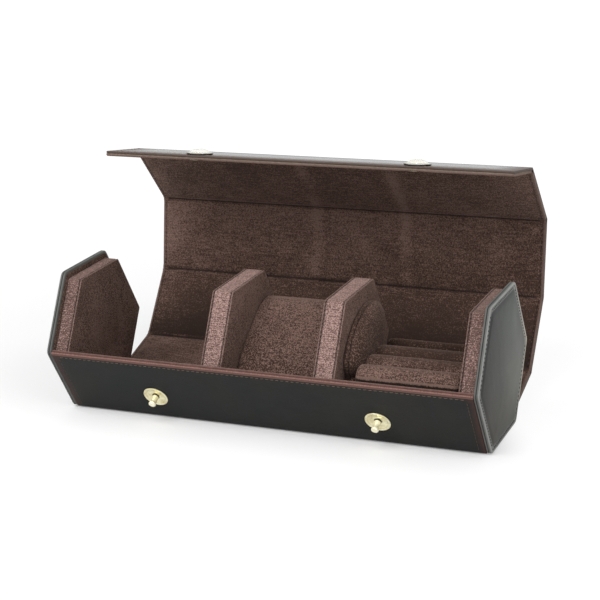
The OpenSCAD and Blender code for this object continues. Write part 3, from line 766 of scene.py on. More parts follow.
# suede linings, with painted light and shade: each panel is painted lighter or darker at its start and at its
# end, the lining is painted lighter towards the lid's left end, and lighter or darker towards the right end
lidPaintedShades = {"back_lower": (0.1, 0.1), "back_upper": (-0.7, -0.14), "top": (-0.07, 0.35),
            "front_upper": (0.01, -0.08), "flap": (0.1, 0.1)}
lidLining = {
    "leftPaintedLight": 0.2, "rightPaintedShade": {"top": -0.2, "front_upper": 0.1}, "foldReach": 1.9, "margin": 1.8,
    "seamWide": 0.33, "seamSunk": 0.16, "edgeGap": 0.45, "crease": 1.0, "overEnd": 0.06, "overFront": 0.08,
    "step": 5.0, "stepAcross": 2.6, "round": 0.5, "uneven": 0.10, "soft": 0.12, "grooveWide": 0.45,
    "flapExtra": 0.1, "pressed": 0.24, "pressRing": (6.5, 11), "foldThick": 0.35,
}


def liningStations(marks):
    edge = lidHalf + lidLining["overEnd"]
    xs = stations(-edge, edge, lidLining["step"], lidLining["round"])
    return withMarks(xs, [s * (lidHalf + d) for s in (-1, 1) for d in marks])


def lidLinings():
    c = lidLining
    seamMarks = [d - c["margin"] for d in (-0.7, -0.3, 0, 0.3, 0.7)]
    for k, body in enumerate(lidBodies):
        last = body == "flap"
        low, high = c["foldReach"], widths[k] + (c["overFront"] if last else -c["foldReach"])
        xs = liningStations(seamMarks)
        us = stations(low, high, c["stepAcross"], c["round"], False, last)
        if last:
            us = withMarks(us, [high + d for d in seamMarks])
            near = (-11, -8.5, -6.5, 0, 6.5, 8.5, 11)
            xs = withMarks(xs, [s * case["snapX"] + d for s in (-1, 1) for d in near])

        def fromEnd(x, u):
            end = lidHalf - np.abs(x)
            return np.minimum(end, high - u) if last else end

        def swell(x, u):
            # soft between the folds, sunk along the seam, and its cut edge a little off the leather; on the
            # flap it stands higher and is pressed in round the snaps
            end = fromEnd(x, u)
            groove = np.exp(-((end - c["margin"]) / c["grooveWide"]) ** 2)
            nearFold = np.minimum(u - low, farAway if last else high - u)
            soft = c["uneven"] * hashNoise(x / 18, u / 12, 40 + k) + c["soft"] * smooth(0, 9, nearFold)
            lifted = c["edgeGap"] * (1 - smooth(0.3, 1.8, end))
            extra = 0.0
            if last:
                press = 1 - smooth(*c["pressRing"], np.hypot(np.abs(x) - case["snapX"], u - snapU))
                extra = c["flapExtra"] * smooth(0, 6, u - low) - c["pressed"] * press
            return soft * smooth(0, 3, end) - c["seamSunk"] * groove + extra, -lifted

        # painted light and shade on this panel, from its start to its end and towards each end of the lid
        def shade(x, u):
            tone = np.interp(u / widths[k], [0, 1], lidPaintedShades[body])
            tone = tone + c["leftPaintedLight"] * (1 - smooth(2, 24, lidHalf + x))
            return tone + c["rightPaintedShade"].get(body, 0) * smooth(0, 80, x)

        def seam(x, u):
            return 0.95 * np.exp(-((fromEnd(x, u) - c["margin"]) / c["seamWide"]) ** 2)
        obj = slabPiece(body + "_suede", xs, us, panelPlace(folds[k], dirs[k]), 0.02, innerV, c["round"],
                        (False, last), c["round"], swell, along=panelStart[k],
                        extra={"seam": seam, "shade": shade, "dotted": lambda x, u: 1.0 + 0.0 * x})
        if last:
            bore(obj, *snapMiddles(), snapBore["suede"])
        obj.data.materials.append(liningMaterial)
        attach(obj, body)
        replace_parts(obj, body + "_lining")
    print("watch case: lid suede")


def foldSuedes():
    # suede sunk into each fold: from the edge of one panel's lining down near the fold point and up to the
    # next, on a cubic curve whose two middle points are pulled towards the fold
    reach, high = lidLining["foldReach"], innerV + 0.02
    xs = liningStations([-d for d in (1.5, 2.5, 3.2, 4.0, 5.0)])
    t = np.concatenate([[0], np.linspace(0, 1, 19), [1]])
    for k, (below, above, before, after) in enumerate(foldPairs):
        p, da, db = folds[k], heading(before), heading(after)
        na, nb = left(da), left(db)
        mid = (na + nb) / np.linalg.norm(na + nb)
        a, b = p - da * reach + na * high, p + db * reach + nb * high

        def place(x, s, v):
            inMargin = 1 - smooth(2.4, 4.4, lidHalf - np.abs(x))  # shallower where the ends are sewn down
            depth = lidLining["crease"] * (1 - 0.75 * inMargin)
            w = (1 - s) ** 3, 3 * s * (1 - s) ** 2, 3 * s * s * (1 - s), s ** 3
            yz = []
            for i in (0, 1):
                aim = 0.55 * (p[i] + mid[i] * (innerV - depth * 1.15))
                curve = w[0] * a[i] + w[1] * (0.45 * a[i] + aim) + w[2] * (0.45 * b[i] + aim) + w[3] * b[i]
                yz.append(curve + v * mid[i])
            return x, *yz

        # painted shade along the bottom of each fold, carried as a seam mark
        def crease(x, s):
            return 0.92 * np.exp(-((s - 0.5) / 0.19) ** 2) * smooth(2.0, 4.0, lidHalf - np.abs(x))
        # painted shade at each fold: the mean of the painted shades of the two panels beside it
        tone = (lidPaintedShades[above][0] + lidPaintedShades[below][1]) / 2 if k else 0.0
        obj = slabPiece(above + "_foldSuede", xs, t, place, -lidLining["foldThick"], 0.0,
                        edgeU=(False, False), along=panelStart[k],
                        extra={"seam": crease, "shade": lambda x, s: tone + 0.0 * x})
        obj.data.materials.append(liningMaterial)
        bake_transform(obj)
    print("watch case: suede over the folds")


wallLining = {"foldRound": 2.0, "edgeRound": 0.5, "endRound": 0.4, "under": 0.35, "backGap": 1.7,
              "step": 6.0, "stepAlong": 1.6, "uneven": 0.06}


def baseLining():
    # suede down the front wall and over the floor, in one length with a rounded inside corner
    turn = corner(5, wall)
    top = frontTop + innerV * wallIn
    back = corner(0, case["leather"])[0] - wallLining["backGap"]
    r = wallLining["foldRound"]
    cut = r / math.tan(math.radians(60))
    bend = r * math.radians(60)
    straight = np.linalg.norm(turn - top) - cut
    centre = top + wallDown * straight + wallIn * r

    def place(x, s, v):
        # straight down the wall, an arc of radius r inside the corner, straight along the floor
        run = np.clip(s, 0, straight)
        over = np.clip((s - straight) / bend, 0, 1)
        flat = np.clip(s - straight - bend, 0, None)
        a = np.radians(210 + 60 * over)
        y = np.where(over <= 0, top[0] + wallDown[0] * run, centre[0] + r * np.cos(a) + flat)
        z = np.where(over <= 0, top[1] + wallDown[1] * run, centre[1] + r * np.sin(a))
        return x, y - v * np.cos(a), z - v * np.sin(a)

    def swell(x, u):
        return wallLining["uneven"] * hashNoise(x / 20, u / 14, 60), 0.0 * x
    xs = stations(-innerHalf, innerHalf, wallLining["step"], wallLining["endRound"])
    total = straight + bend + (back - turn[0] - cut)
    us = stations(0, total, wallLining["stepAlong"], wallLining["edgeRound"], True, False)
    obj = slabPiece("wall_suede", xs, us, place, -case["board"] - wallLining["under"], 0.0,
                    wallLining["endRound"], (True, False), wallLining["edgeRound"], swell,
                    extra={"seam": lambda x, u: 0.0 * x}, wrapped=True)
    obj.data.materials.append(wallSuedeMaterial)
    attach(obj, "base")
    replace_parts(obj, "base_lining")
    print("watch case: floor and front wall suede")


# pads and dividers
insert = {"inset": 3.1, "seatGap": 0.1, "wrap": 1.0, "edgeRound": 0.4, "cornerRound": 1.3, "seamDepth": 0.35,
          "crown": 0.55, "padThick": 7.8, "dividerThick": 10.6, "pillowRoom": 45.6, "fill": 0.95}
insertApothem = apothem - insert["inset"]
insertZ = wall + insert["seatGap"] + insertApothem
padX = innerHalf - insert["padThick"]
slotLen = (2 * padX - 2 * insert["dividerThick"]) / 3
dividerTwoX = slotLen / 2 + insert["dividerThick"] / 2
dividerOneX = dividerTwoX - insert["dividerThick"] - insert["pillowRoom"]
insertAngles = sixAngles(insertApothem)


def insertOutline(n):
    return sixSided(n, insertApothem, insertZ, insert["cornerRound"], insertAngles)


def sidePiece(name, x, s, body, nodes):
    # one suede side, x its face and s its outward way: a low crown over the face, a rounded edge, and a turn
    # over the band down to its seam
    r, wrap, middle = insert["edgeRound"], insert["wrap"], insertApothem - 0.01

    def crown(n):
        return insert["crown"] * (1 - (1 - n / insertApothem) ** 2.6 - 0.18 * math.exp(-((n - 6) / 4) ** 2))
    profile = [(x + s * crown(n), n) for n in (middle, 28, 23, 18, 13.5, 10, 7.5, 5.5, 4, 2.8, 1.9, 1.3)]
    profile += [(x - s * (r - r * math.cos(a)), r - r * math.sin(a)) for a in np.linspace(0, math.pi / 2, 6)]
    turn = [(wrap - 0.5, 0.0), (wrap - 0.4, 0.05), (wrap - 0.2, 0.14), (wrap, insert["seamDepth"]),
            (wrap - 0.05, 0.75), (0.56, 0.85), (0.5, 3.0), (0.5, middle)]
    profile += [(x - s * d, n) for d, n in turn]
    profile = np.array(profile)
    mark = np.zeros(len(profile))
    mark[-8:-2] = [0.0, 0.8, 1.0, 1.0, 1.0, 1.0]
    turned = 1 - smooth(0.04, 0.18, profile[:, 1])
    turned[-7:-2] = 1
    obj = roundPiece(name, profile[:, 0], profile[:, 1], insertOutline, {"seam": mark, "turned": turned})
    obj.data.materials.append(padFaceMaterial if body == "base" else dividerFaceMaterial)
    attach(obj, body)
    if nodes:
        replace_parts(obj, *nodes)
    return obj


def bandPiece(name, x0, x1, body, nodes):
    # the ribbed band between two seams: its two edges dip into the seams and its middle is a little proud
    w = x1 - x0
    edge = np.array([0, 0.12, 0.28, 0.55, 1.2])
    t = np.concatenate([edge, np.linspace(1.2, w - 1.2, 5)[1:-1], w - edge[::-1]])
    near = np.minimum(t, w - t)
    dip = insert["seamDepth"] * (1 - np.minimum(1, near / 0.45))
    top = list(zip(x0 + t, dip + 0.04 - 0.03 * np.sin(math.pi * t / w)))
    profile = np.array(top + [(x1, 0.78), (x0, 0.78)] + top[:1])
    mark = np.concatenate([np.interp(near, [0, 0.12, 0.28, 0.55], [1, 1, 0.9, 0]), [1, 1, 1]])
    obj = roundPiece(name, profile[:, 0], profile[:, 1], insertOutline, {"seam": mark})
    obj.data.materials.append(bandMaterial if body != "base" else padBandMaterial)
    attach(obj, body)
    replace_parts(obj, *nodes)
    return obj


def inserts():
    ring = ((0, 4.0), (0, 3.0), (0, 2.0), (0, 1.45), (0.08, 1.3), (0.15, 1.45), (0.15, 2.2), (0.15, 3.3),
            (0.15, 4.0))
    for s, side in ((-1, "left"), (1, "right")):
        sidePiece(side + "_pad_suede", s * padX, -s, "base", [side + "_pad_face"])
        a, b = sorted((s * (padX + insert["wrap"]), s * (innerHalf - 0.02)))
        bandPiece(side + "_pad_trim", a, b, "base", [side + "_pad_band"])
        x, n = np.array([(innerHalf * s - d * s, n) for d, n in ring]).T
        obj = roundPiece(side + "_cap_innerSuede", x, n, capOutline(insertAngles), {"seam": np.zeros(len(n))})
        obj.data.materials.append(ringMaterial)
        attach(obj, "base")
    for x, n in ((dividerOneX, 1), (dividerTwoX, 2)):
        body, h = f"divider_{n}", insert["dividerThick"] / 2
        sidePiece(body + "_leftSuede", x - h, -1, body, [body + "_faces"])
        sidePiece(body + "_rightSuede", x + h, 1, body, [])
        bandPiece(body + "_trim", x - h + insert["wrap"], x + h - insert["wrap"], body, [body + "_band"])
    print("watch case: pads and dividers")


# padded pieces
pillow = {
    "long": 56.8, "short": 37.7, "tilt": 35.0, "back": 5.5, "square": 3.1, "length": 45.0, "slack": 0.15,
    "cap": 0.9, "pressure": 4.0, "endRound": 1.7, "shrinkFrom": 6, "fill": 0.9,
}
pillowX = dividerTwoX - insert["dividerThick"] / 2 - 0.3 - pillow["length"] / 2
cloth = {"quality": 6, "stretch": 25, "bend": 2.5, "frames": 20}


def ovalOutline(values, low):
    # superellipse: (sign cos)|cos|^(2/p) and (sign sin)|sin|^(2/p) times the half widths, turned by the tilt
    # and standing on z = low; beyond shrinkFrom it closes towards its middle
    a = np.radians(np.arange(0, 360, 3.0))
    e = 2 / values["square"]
    tilt = math.radians(values["tilt"])
    half, deep = values["short"] / 2, values["shrinkFrom"]

    def points(inset):
        u = (values["long"] / 2 - inset)[:, None] * (np.sign(np.cos(a)) * np.abs(np.cos(a)) ** e)[None]
        v = (half - inset)[:, None] * (np.sign(np.sin(a)) * np.abs(np.sin(a)) ** e)[None]
        return u * math.cos(tilt) - v * math.sin(tilt), u * math.sin(tilt) + v * math.cos(tilt)
    lowest = points(np.array([0.0]))[1].min()

    def outline(n):
        n = np.minimum(n, half - 0.05)
        shrink = np.where(n > deep, (half - n) / (half - deep), 1)[:, None]
        y, z = (np.where(n[:, None] > deep, q * shrink, q) for q in points(np.minimum(n, deep)))
        return y + values["back"], z - lowest + low
    return outline


def puff(obj, values):
    # cloth blown up gently from inside, with how far each point may move held to a cap
    scene = bpy.context.scene
    bpy.context.view_layer.objects.active = obj
    mesh = obj.data
    start, end = (np.empty(len(mesh.vertices) * 3, np.float32) for _ in range(2))
    mesh.vertices.foreach_get("co", start)
    sim = obj.modifiers.new("puff", "CLOTH")
    sim.settings.use_pressure = True
    sim.settings.uniform_pressure_force = values["pressure"]
    sim.settings.quality = cloth["quality"]
    sim.settings.tension_stiffness = sim.settings.compression_stiffness = cloth["stretch"]
    sim.settings.bending_stiffness = cloth["bend"]
    sim.settings.effector_weights.gravity = 0
    for f in range(cloth["frames"]):
        scene.frame_set(f + 1)
    done = obj.evaluated_get(bpy.context.evaluated_depsgraph_get())
    done.data.vertices.foreach_get("co", end)
    obj.modifiers.remove(sim)
    move = (end - start).reshape(-1, 3)
    far = np.linalg.norm(move, axis=1)[:, None]
    move = move * np.minimum(1, values["cap"] * mm / np.maximum(far, 1e-9))
    mesh.vertices.foreach_set("co", (start.reshape(-1, 3) + move).ravel())
    mesh.update()
    scene.frame_set(1)


def pillowPiece():
    # half a profile of (x, inset) from the sunk end over its round edge to the middle, then mirrored
    h, r = pillow["length"] / 2 - pillow["slack"], pillow["endRound"]
    half = [(-h + 0.25 * math.cos(min(1, n / 15) * math.pi / 2), n + r)
            for n in (30, 14, 11, 8, 5.5, 3.3, 1.5)]
    half += [(-h + r - r * math.cos(a), r - r * math.sin(a)) for a in np.linspace(0, math.pi / 2, 6)]
    half += [(x, 0.0) for x in np.linspace(-h + r + 2, 0, 8)]
    x, n = np.array(half + [(-x, n) for x, n in half[-2::-1]]).T
    n = n + pillow["slack"]
    # painted shade along the pillow's rounded ends, where they meet the dividers, carried as a seam mark
    mark = 0.9 * smooth(1.15, 1.6, n) * (1 - smooth(2.6, 5.0, n))
    outline = ovalOutline(pillow, wall + insert["seatGap"])
    obj = roundPiece("pillow_suede", x + pillowX, n, outline, {"seam": mark})
    puff(obj, pillow)
    obj.data.materials.append(pillowMaterial)
    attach(obj, "pillow")
    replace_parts(obj, "pillow_cover", "pillow_ends", "pillow_core")
    print("watch case: pillow")


cushion = {
    "cheekThick": 7.4, "cheekLong": 45.4, "cheekShort": 26.0, "cheekTilt": 24.6, "cheekBack": -4.6,
    "cheekMid": 40.9, "seatHeight": 31.5, "ribRise": 0.3, "ribWide": 12.4, "ribCrown": 5.3, "slotWide": 8.0,
    "slotDeep": 12.0, "board": 1.5, "cap": 0.5, "pressure": 3.0, "fill": 0.8,
    "ribStep": 0.45, "ribSoft": 4, "ribMiddle": (-6.0, 17.0),
    "cheekStep": 0.8, "cheekSoft": 3, "cheekMiddle": (-4.0, 36.0), "cheekProfile": 7.4,
}
footY = insertApothem * 2 / math.sqrt(3) / 2 - 1
cushionX0 = dividerTwoX + insert["dividerThick"] / 2 + 0.3
cushionX1 = padX - 0.3


def resample(points, step):
    # even steps along a closed outline, by length
    p = np.vstack([points, points[:1]])
    run = np.concatenate([[0], np.cumsum(np.hypot(*np.diff(p, axis=0).T))])
    at = np.linspace(0, run[-1], int(run[-1] / step) + 1)[:-1]
    return np.stack([np.interp(at, run, p[:, 0]), np.interp(at, run, p[:, 1])], -1)


def soften(points, rounds):
    # each point moves to the mean of its neighbours and itself, a few times over
    for _ in range(rounds):
        points = (np.roll(points, 1, 0) + 2 * points + np.roll(points, -1, 0)) / 4
    return points


def closedOutline(points, centre):
    # moved in by n: each point goes towards the centre by n over its mean distance from it
    size = np.hypot(*(points - centre).T).mean()

    def outline(n):
        k = np.clip(1 - n / size, 0.002, 1)[:, None]
        return (centre[i] + (points[:, i] - centre[i])[None] * k for i in (0, 1))
    return outline


def cushionPieces():
    c = cushion
    base = wall + insert["seatGap"] + c["board"]
    # the rolls: each is a half wave over its width, a little higher than the one before
    z0 = wall + c["seatHeight"]
    y0 = -footY - (z0 - base + c["board"]) / math.sqrt(3) + 2.5
    ribs = [(y0 + i * c["ribWide"] + c["ribWide"] / 2 * (1 - math.cos(q)),
             z0 + i * c["ribRise"] + (c["ribCrown"] + 0.5) * math.sin(q) ** 0.85 - 0.3)
            for i in range(3) for q in np.linspace(0.02, math.pi - 0.02, 17)]
    # the slot behind them, and the back roll
    y1, z1 = y0 + 3 * c["ribWide"], z0 + 2 * c["ribRise"]
    y2, z2 = y1 + c["slotWide"], z1 - c["slotDeep"]
    backY, backZ = y2 + 3, z1 + c["ribCrown"] - 1.5
    shape = [(-footY, base + 0.1), (y0 - 0.1, z0 - 2.0)] + ribs
    shape += [(y1 + 0.5, z1 - 1.2), (y1 + 1, z2), (y2, z2), (y2 + 0.3, backZ - 0.2), (backY, backZ - 0.2),
              (backY + 0.5, backZ - 4), (footY, base + 0.1)]
    smoothed = soften(resample(np.array(shape), c["ribStep"]), c["ribSoft"])
    outline = closedOutline(smoothed, np.array(c["ribMiddle"]))
    xa, xb = cushionX0 + c["cheekThick"] + 0.1, cushionX1 - 0.1
    endIn = np.array([19.0, 14, 9, 5, 2.8, 1.6, 0.9, 0.35, 0.0])
    endX = np.array([0.0, 0.0, 0.03, 0.07, 0.13, 0.28, 0.6, 1.3, 3.0])
    xs = np.concatenate([xa + endX, np.linspace(xa + 3, xb - 3, 22)[1:-1], xb - endX[::-1]])
    ins = np.concatenate([endIn, np.zeros(20), endIn[::-1]])
    obj = roundPiece("cushion_ribs", xs, ins, outline, {"seam": np.zeros(len(xs))})
    puff(obj, cushion)
    obj.data.materials.append(seatMaterial)
    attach(obj, "cushion")
    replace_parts(obj, "cushion_seat")

    # the cheek: most of a tilted ellipse that widens to the foot
    tilt, mid = math.radians(c["cheekTilt"]), wall + c["cheekMid"]
    a = np.radians(np.arange(-65, 196, 5.0))
    u, w = c["cheekLong"] / 2 * np.cos(a), c["cheekShort"] / 2 * np.sin(a)
    oval = np.stack([c["cheekBack"] + u * math.cos(tilt) - w * math.sin(tilt),
                     mid + u * math.sin(tilt) + w * math.cos(tilt)], -1)
    shape = np.vstack([oval, [(-footY - 8, mid - 17), (-footY, base + 0.1), (footY, base + 0.1)]])
    smoothed = soften(resample(shape, c["cheekStep"]), c["cheekSoft"])
    outline = closedOutline(smoothed, np.array(c["cheekMiddle"]))
    # up the back face, over a narrow rim strip, down into its seam, then out over the bulging face
    x, n = np.array([
        (0.1, 24), (0.1, 16), (0.1, 8), (0.1, 3), (0.12, 1.4), (0.22, 0.7), (0.45, 0.25), (0.8, 0.05),
        (1.5, 0.0), (2.2, 0.05), (2.5, 0.2), (2.7, 0.6), (2.9, 0.25), (3.4, 0.2), (4.2, 0.6), (5.0, 1.3),
        (5.9, 2.4), (6.8, 4.2), (7.5, 6.6), (8.0, 9.5), (8.3, 13), (8.4, 18), (8.4, 24)]).T
    mark = np.maximum(np.exp(-((x - 2.65) / 0.3) ** 2), (x < 0.6) * (n < 3))
    x = cushionX0 + x * c["cheekThick"] / c["cheekProfile"]
    obj = roundPiece("cushion_cheekSuede", x, n, outline, {"seam": mark})
    obj.data.materials.append(cheekMaterial)
    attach(obj, "cushion")
    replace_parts(obj, "cushion_cheek")
    print("watch case: ribbed cushion")


# stitching: the outer rows on the lid, the finer ones inside it, on the front wall and on the caps
stitch = {"stitch": 2.5, "gap": 1.1, "thread": 0.17, "slant": 4.0, "inset": 3.1, "foldGap": 2.4}
insideStitch = dict(stitch, stitch=1.3, gap=1.5, thread=0.14, inset=lidLining["margin"])
wallTopStitch = dict(stitch, stitch=1.7, gap=0.8, thread=0.12, inset=3.0, drop=2.45)
wallEndStitch = dict(stitch, stitch=1.7, gap=0.7, thread=0.13, inset=3.4)
capStitch = dict(stitch, stitch=1.2, gap=0.8, thread=0.3)


def panelPoint(k, x, u, v):
    d = heading(dirs[k])
    return (x, *(folds[k] + d * u + left(d) * v))


def stitching():
    ways = ((-1, -case["leather"] - 0.02, stitch, "Outer", threadMaterial),
            (1, innerV - 0.12, insideStitch, "Inner", darkThreadMaterial))
    for k, body in enumerate(lidBodies):
        normal = np.array([0, *left(heading(dirs[k]))])
        last = body == "flap"
        for way, v, values, label, material in ways:
            if last and way > 0:
                v = v + lidLining["flapExtra"]
            inset, low = values["inset"], values["foldGap"]
            high = widths[k] - (inset if last else low)
            for s, side in ((-1, "Left"), (1, "Right")):
                x = s * (lidHalf - inset)
                stitchRow(f"{body}_stitch{label}{side}", panelPoint(k, x, low, v), panelPoint(k, x, high, v),
                          normal * way, body, values, material)
            if last:
                x = lidHalf - inset - 1.5
                stitchRow(f"{body}_stitch{label}Front", panelPoint(k, -x, high, v), panelPoint(k, x, high, v),
                          normal * way, body, values, material)

    def wallPoint(x, u):
        return (x, *(frontTop + wallDown * u + wallOut * (case["leather"] + 0.03)))
    normal = np.array([0, *wallOut])
    x, u = innerHalf - wallTopStitch["inset"], wallTopStitch["drop"]
    stitchRow("frontWall_stitchTop", wallPoint(-x, u), wallPoint(x, u), normal, "base", wallTopStitch,
              wallThreadMaterial)
    inset = wallEndStitch["inset"]
    for s, side in ((-1, "Left"), (1, "Right")):
        x = s * (innerHalf - inset)
        stitchRow("frontWall_stitch" + side, wallPoint(x, inset), wallPoint(x, frontWidth - 1.0), normal,
                  "base", wallEndStitch, darkThreadMaterial)
    inset = cap["bead"] + cap["stitchIn"]
    for s, side in ((-1, "left"), (1, "right")):
        x = s * (case["length"] / 2 - cap["groove"] * 0.75)
        for i in range(6):
            stitchRow(f"{side}_cap_stitch{i}", (x, *corner(i, inset)), (x, *corner(i + 1, inset)), (s, 0, 0),
                      "base", capStitch, blackThreadMaterial, skipEnds=1.0)
    print("watch case: stitching")


# hardware and hidden boards: (radius, height, tarnish and painted shade) down each turned profile
metal = {
    "washer": [(1.55, -0.05, 1), (1.75, -0.02, 0.7), (1.9, 0.02, 0.3), (2.1, 0.06, 0), (2.9, 0.10, 0),
               (3.6, 0.11, 0), (4.3, 0.16, 0), (4.9, 0.27, 0.15), (5.3, 0.45, 0), (5.65, 0.56, 0),
               (5.95, 0.54, 0), (6.18, 0.34, 0), (6.15, 0.0, 1), (5.0, -0.3, 1)],
    "pin": [(1.6, -0.05, 1), (1.6, 0.3, 1), (1.6, 0.7, 0), (1.58, 1.4, 0), (1.55, 2.6, 0), (1.55, 3.4, 0),
            (1.58, 3.9, 0.15), (1.7, 4.3, 0), (1.82, 4.65, 0), (1.8, 5.0, 0), (1.6, 5.35, 0), (1.15, 5.6, 0),
            (0.5, 5.73, 0), (0.02, 5.75, 0)],
    "cap": [(0.02, 2.8, 0), (1.6, 2.76, 0), (2.9, 2.52, 0), (3.9, 2.15, 0), (4.6, 1.75, 0), (5.0, 1.35, 0),
            (5.2, 1.15, 0.2), (5.7, 1.1, 0), (6.3, 1.05, 0.3), (6.58, 0.9, 0.5), (6.6, 0.65, 0.6),
            (6.55, 0.45, 1), (6.45, 0.2, 1), (6.3, -0.05, 1)],
}
nodeFinish = {"stud_backplates": brassMaterial, "snap_sockets": brassMaterial, "snap_springs": wireMaterial}


def turned(name, profile, middle, out, body, material):
    # a profile of (radius, height) turned about the axis through middle along out, at both fasteners:
    # point = middle + out * height + radius * (cos a * X + sin a * (out x X))
    a = np.radians(np.arange(0, 360, 7.5))
    out = np.array([0.0, *out])
    side = np.cross(out, (1, 0, 0))
    r, h, tarnishAndShade = np.array(profile, float).T
    ring = np.cos(a)[:, None] * np.array([1.0, 0, 0]) + np.sin(a)[:, None] * side
    verts, faces = [], []
    for k, x in enumerate((-case["snapX"], case["snapX"])):
        at = np.array([x, *middle]) + out * h[:, None, None] + ring[None] * r[:, None, None]
        verts.append(at.reshape(-1, 3) * mm)
        faces.append(quads(len(r), len(a), closeCols=True) + k * len(r) * len(a))
    verts = np.concatenate(verts)
    marks = {"tarnishAndShade": np.tile(np.repeat(tarnishAndShade, len(a)), 2)}
    obj = finishMesh(name, verts, np.concatenate(faces), verts / mm, marks, autoSmooth=50)
    obj.data.materials.append(material)
    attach(obj, body)
    return obj


def fasteners():
    onWall = corner(4, 0) + wallDown * case["studDrop"]
    rosettes = turned("stud_rosettes", metal["washer"], onWall, wallOut, "base", brassMaterial)
    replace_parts(rosettes, "stud_washers")
    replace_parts(turned("stud_pins", metal["pin"], onWall, wallOut, "base", postMaterial), "stud_posts")
    d = heading(dirs[4])
    up = -left(d)
    onFlap = folds[4] + d * snapU + up * case["leather"]
    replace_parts(turned("snap_capShells", metal["cap"], onFlap, up, "flap", capMetalMaterial), "snap_caps")
    print("watch case: studs and snap caps")


def dressNodes():
    # the CAD nodes that stay in sight, and the replaced ones, which are kept for motion
    for name, obj in cadNodes.items():
        if name in nodeFinish:
            finish = nodeFinish[name]
        elif name == "front_board":
            finish = stainedBoardMaterial
        elif name.endswith("_board"):
            finish = boardMaterial
        elif name.endswith("_core"):
            finish = coreMaterial
        else:
            finish = liningMaterial if "lining" in name else hideMaterial
        obj.data.materials.clear()
        obj.data.materials.append(finish)
        if name in nodeFinish:
            obj.data.polygons.foreach_set("use_smooth", np.ones(len(obj.data.polygons), bool))
    print("watch case: hardware dressed")


# room, light and camera
room = {
    "world": 0.5, "floor": (0.86, 0.86, 0.86), "floorLow": -0.6, "floorSides": 96,
    "floorRings": (20, 200, 500, 1200, 3000, 6000), "floorLift": 0.15, "sideLift": 0.82, "frontLift": 0.93,
    "floorGlow": 1.06, "aim": (0, 0, 0.05),
}
# name, place and side in metres, power in watts
lamps = (("key", (-0.35, -1.05, 1.35), 1.1, 26.0), ("fill", (1.2, -0.5, 0.9), 1.0, 7.0))
view = {
    "azimuth": 23.517, "elevation": 17.911, "distance": 768.274, "aim": (8.98, 0.0, 58.311), "roll": -2.755,
    "focal": 1636.173, "pixels": 600, "sensor": 36.0, "near": 0.01, "far": 50,
}


def addWorld():
    # white where the camera, a reflection or a transmission sees it, and dimmer as a light
    world = bpy.data.worlds.new("softRoom")
    bpy.context.scene.world = world
    world.use_nodes = True
    s = Shade("softRoom", world.node_tree)
    camera, glossy, through = (s.node("ShaderNodeLightPath", out=f"Is {kind} Ray")
                               for kind in ("Camera", "Glossy", "Transmission"))
    seen = camera.most(glossy).most(through)
    level = seen.step(0.0, 1.0, room["world"], 1.0, "LINEAR")
    back = s.node("ShaderNodeBackground", None, {"Color": (1, 1, 1), "Strength": level})
    s.output("ShaderNodeOutputWorld", back)


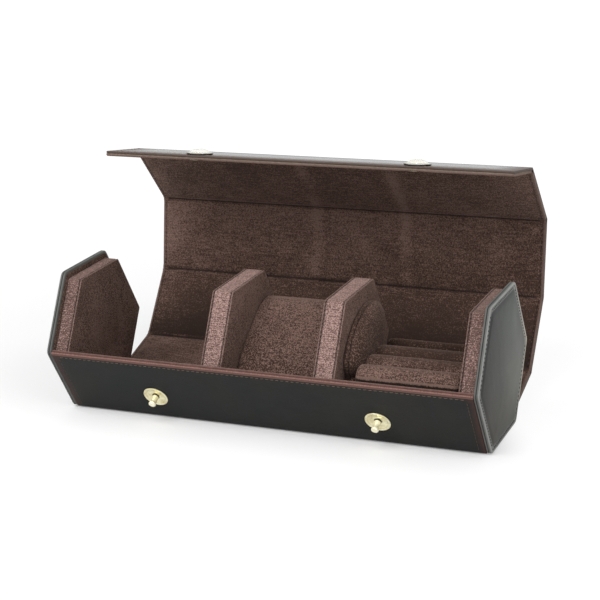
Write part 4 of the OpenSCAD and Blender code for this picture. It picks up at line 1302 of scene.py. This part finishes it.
def addFloor():
    # a flat disc in rings: white to the camera away from the case, and a plain pale surface near it, where
    # it keeps the contact shadow
    a = np.linspace(0, 2 * math.pi, room["floorSides"], endpoint=False)
    radii = np.array(room["floorRings"])[:, None] * mm
    low = np.full((len(radii), len(a)), room["floorLow"] * mm)
    verts = np.stack([radii * np.cos(a), radii * np.sin(a), low], -1).reshape(-1, 3)
    floor = finishMesh("floor", verts, quads(len(radii), len(a), closeCols=True), verts, {})
    bm = bmesh.new()
    bm.from_mesh(floor.data)
    middle = [e for e in bm.edges if e.is_boundary and max(v.co.length for v in e.verts) < 0.03]
    bmesh.ops.contextual_create(bm, geom=middle)
    for f in bm.faces:
        if f.normal.z < 0:
            f.normal_flip()
    bm.to_mesh(floor.data)
    bm.free()
    s = Shade("paleFloor")
    diffuse = s.node("ShaderNodeBsdfDiffuse", None, {"Color": room["floor"]})
    glow = s.node("ShaderNodeEmission", None, {"Color": (1.0, 1.0, 1.0), "Strength": room["floorGlow"]})
    camera = s.node("ShaderNodeLightPath", out="Is Camera Ray")
    reach = s.node("ShaderNodeVectorMath", {"operation": "LENGTH"}, {0: s.place()}, out="Value")
    x, y = s.part(s.place(), "X"), s.part(s.place(), "Y")
    far = reach.step(0.14, 0.45, room["floorLift"], 1.0)
    beside = (x + y * 0.6).step(0.082, 0.125) * room["sideLift"]
    ahead = (0 - y).step(0.028, 0.078) * room["frontLift"]
    far = far + (1 - far) * beside
    far = far + (1 - far) * ahead
    both = s.node("ShaderNodeMixShader", None, {0: camera * far, 1: diffuse, 2: glow})
    s.output("ShaderNodeOutputMaterial", both)
    floor.data.materials.append(s.material)


def addLamps():
    for name, place, size, power in lamps:
        lamp = bpy.data.lights.new(name, "AREA")
        lamp.shape, lamp.size, lamp.energy = "SQUARE", size, power
        holder = bpy.data.objects.new(name, lamp)
        bpy.context.scene.collection.objects.link(holder)
        holder.location = place
        holder.rotation_euler = (Vector(room["aim"]) - Vector(place)).to_track_quat("-Z", "Y").to_euler()


def addCamera():
    # the camera looks at aim from distance along the heading that azimuth and elevation give, rolled about it
    az, el, roll = (math.radians(view[k]) for k in ("azimuth", "elevation", "roll"))
    back = Vector((math.sin(az) * math.cos(el), -math.cos(az) * math.cos(el), math.sin(el)))
    right = Vector((math.cos(az), math.sin(az), 0))
    up = back.cross(right)
    across = right * math.cos(roll) + up * math.sin(roll)
    upright = up * math.cos(roll) - right * math.sin(roll)
    camera = bpy.data.cameras.new("camera")
    camera.sensor_width, camera.lens = view["sensor"], view["focal"] / view["pixels"] * view["sensor"]
    camera.clip_start, camera.clip_end = view["near"], view["far"]
    holder = bpy.data.objects.new("camera", camera)
    m = Matrix((across, upright, back)).transposed().to_4x4()
    m.translation = Vector(view["aim"]) * mm + back * view["distance"] * mm
    holder.matrix_world = m
    bpy.context.scene.collection.objects.link(holder)
    bpy.context.scene.camera = holder


addCamera()
addWorld()
addFloor()
addLamps()
panelSkins()
foldSkins()
baseSkin()
capSkins()
lidLinings()
foldSuedes()
baseLining()
inserts()
pillowPiece()
cushionPieces()
stitching()
fasteners()
dressNodes()
bpy.context.scene.view_settings.view_transform = "Standard"
bpy.context.view_layer.update()
print("watch case: done")
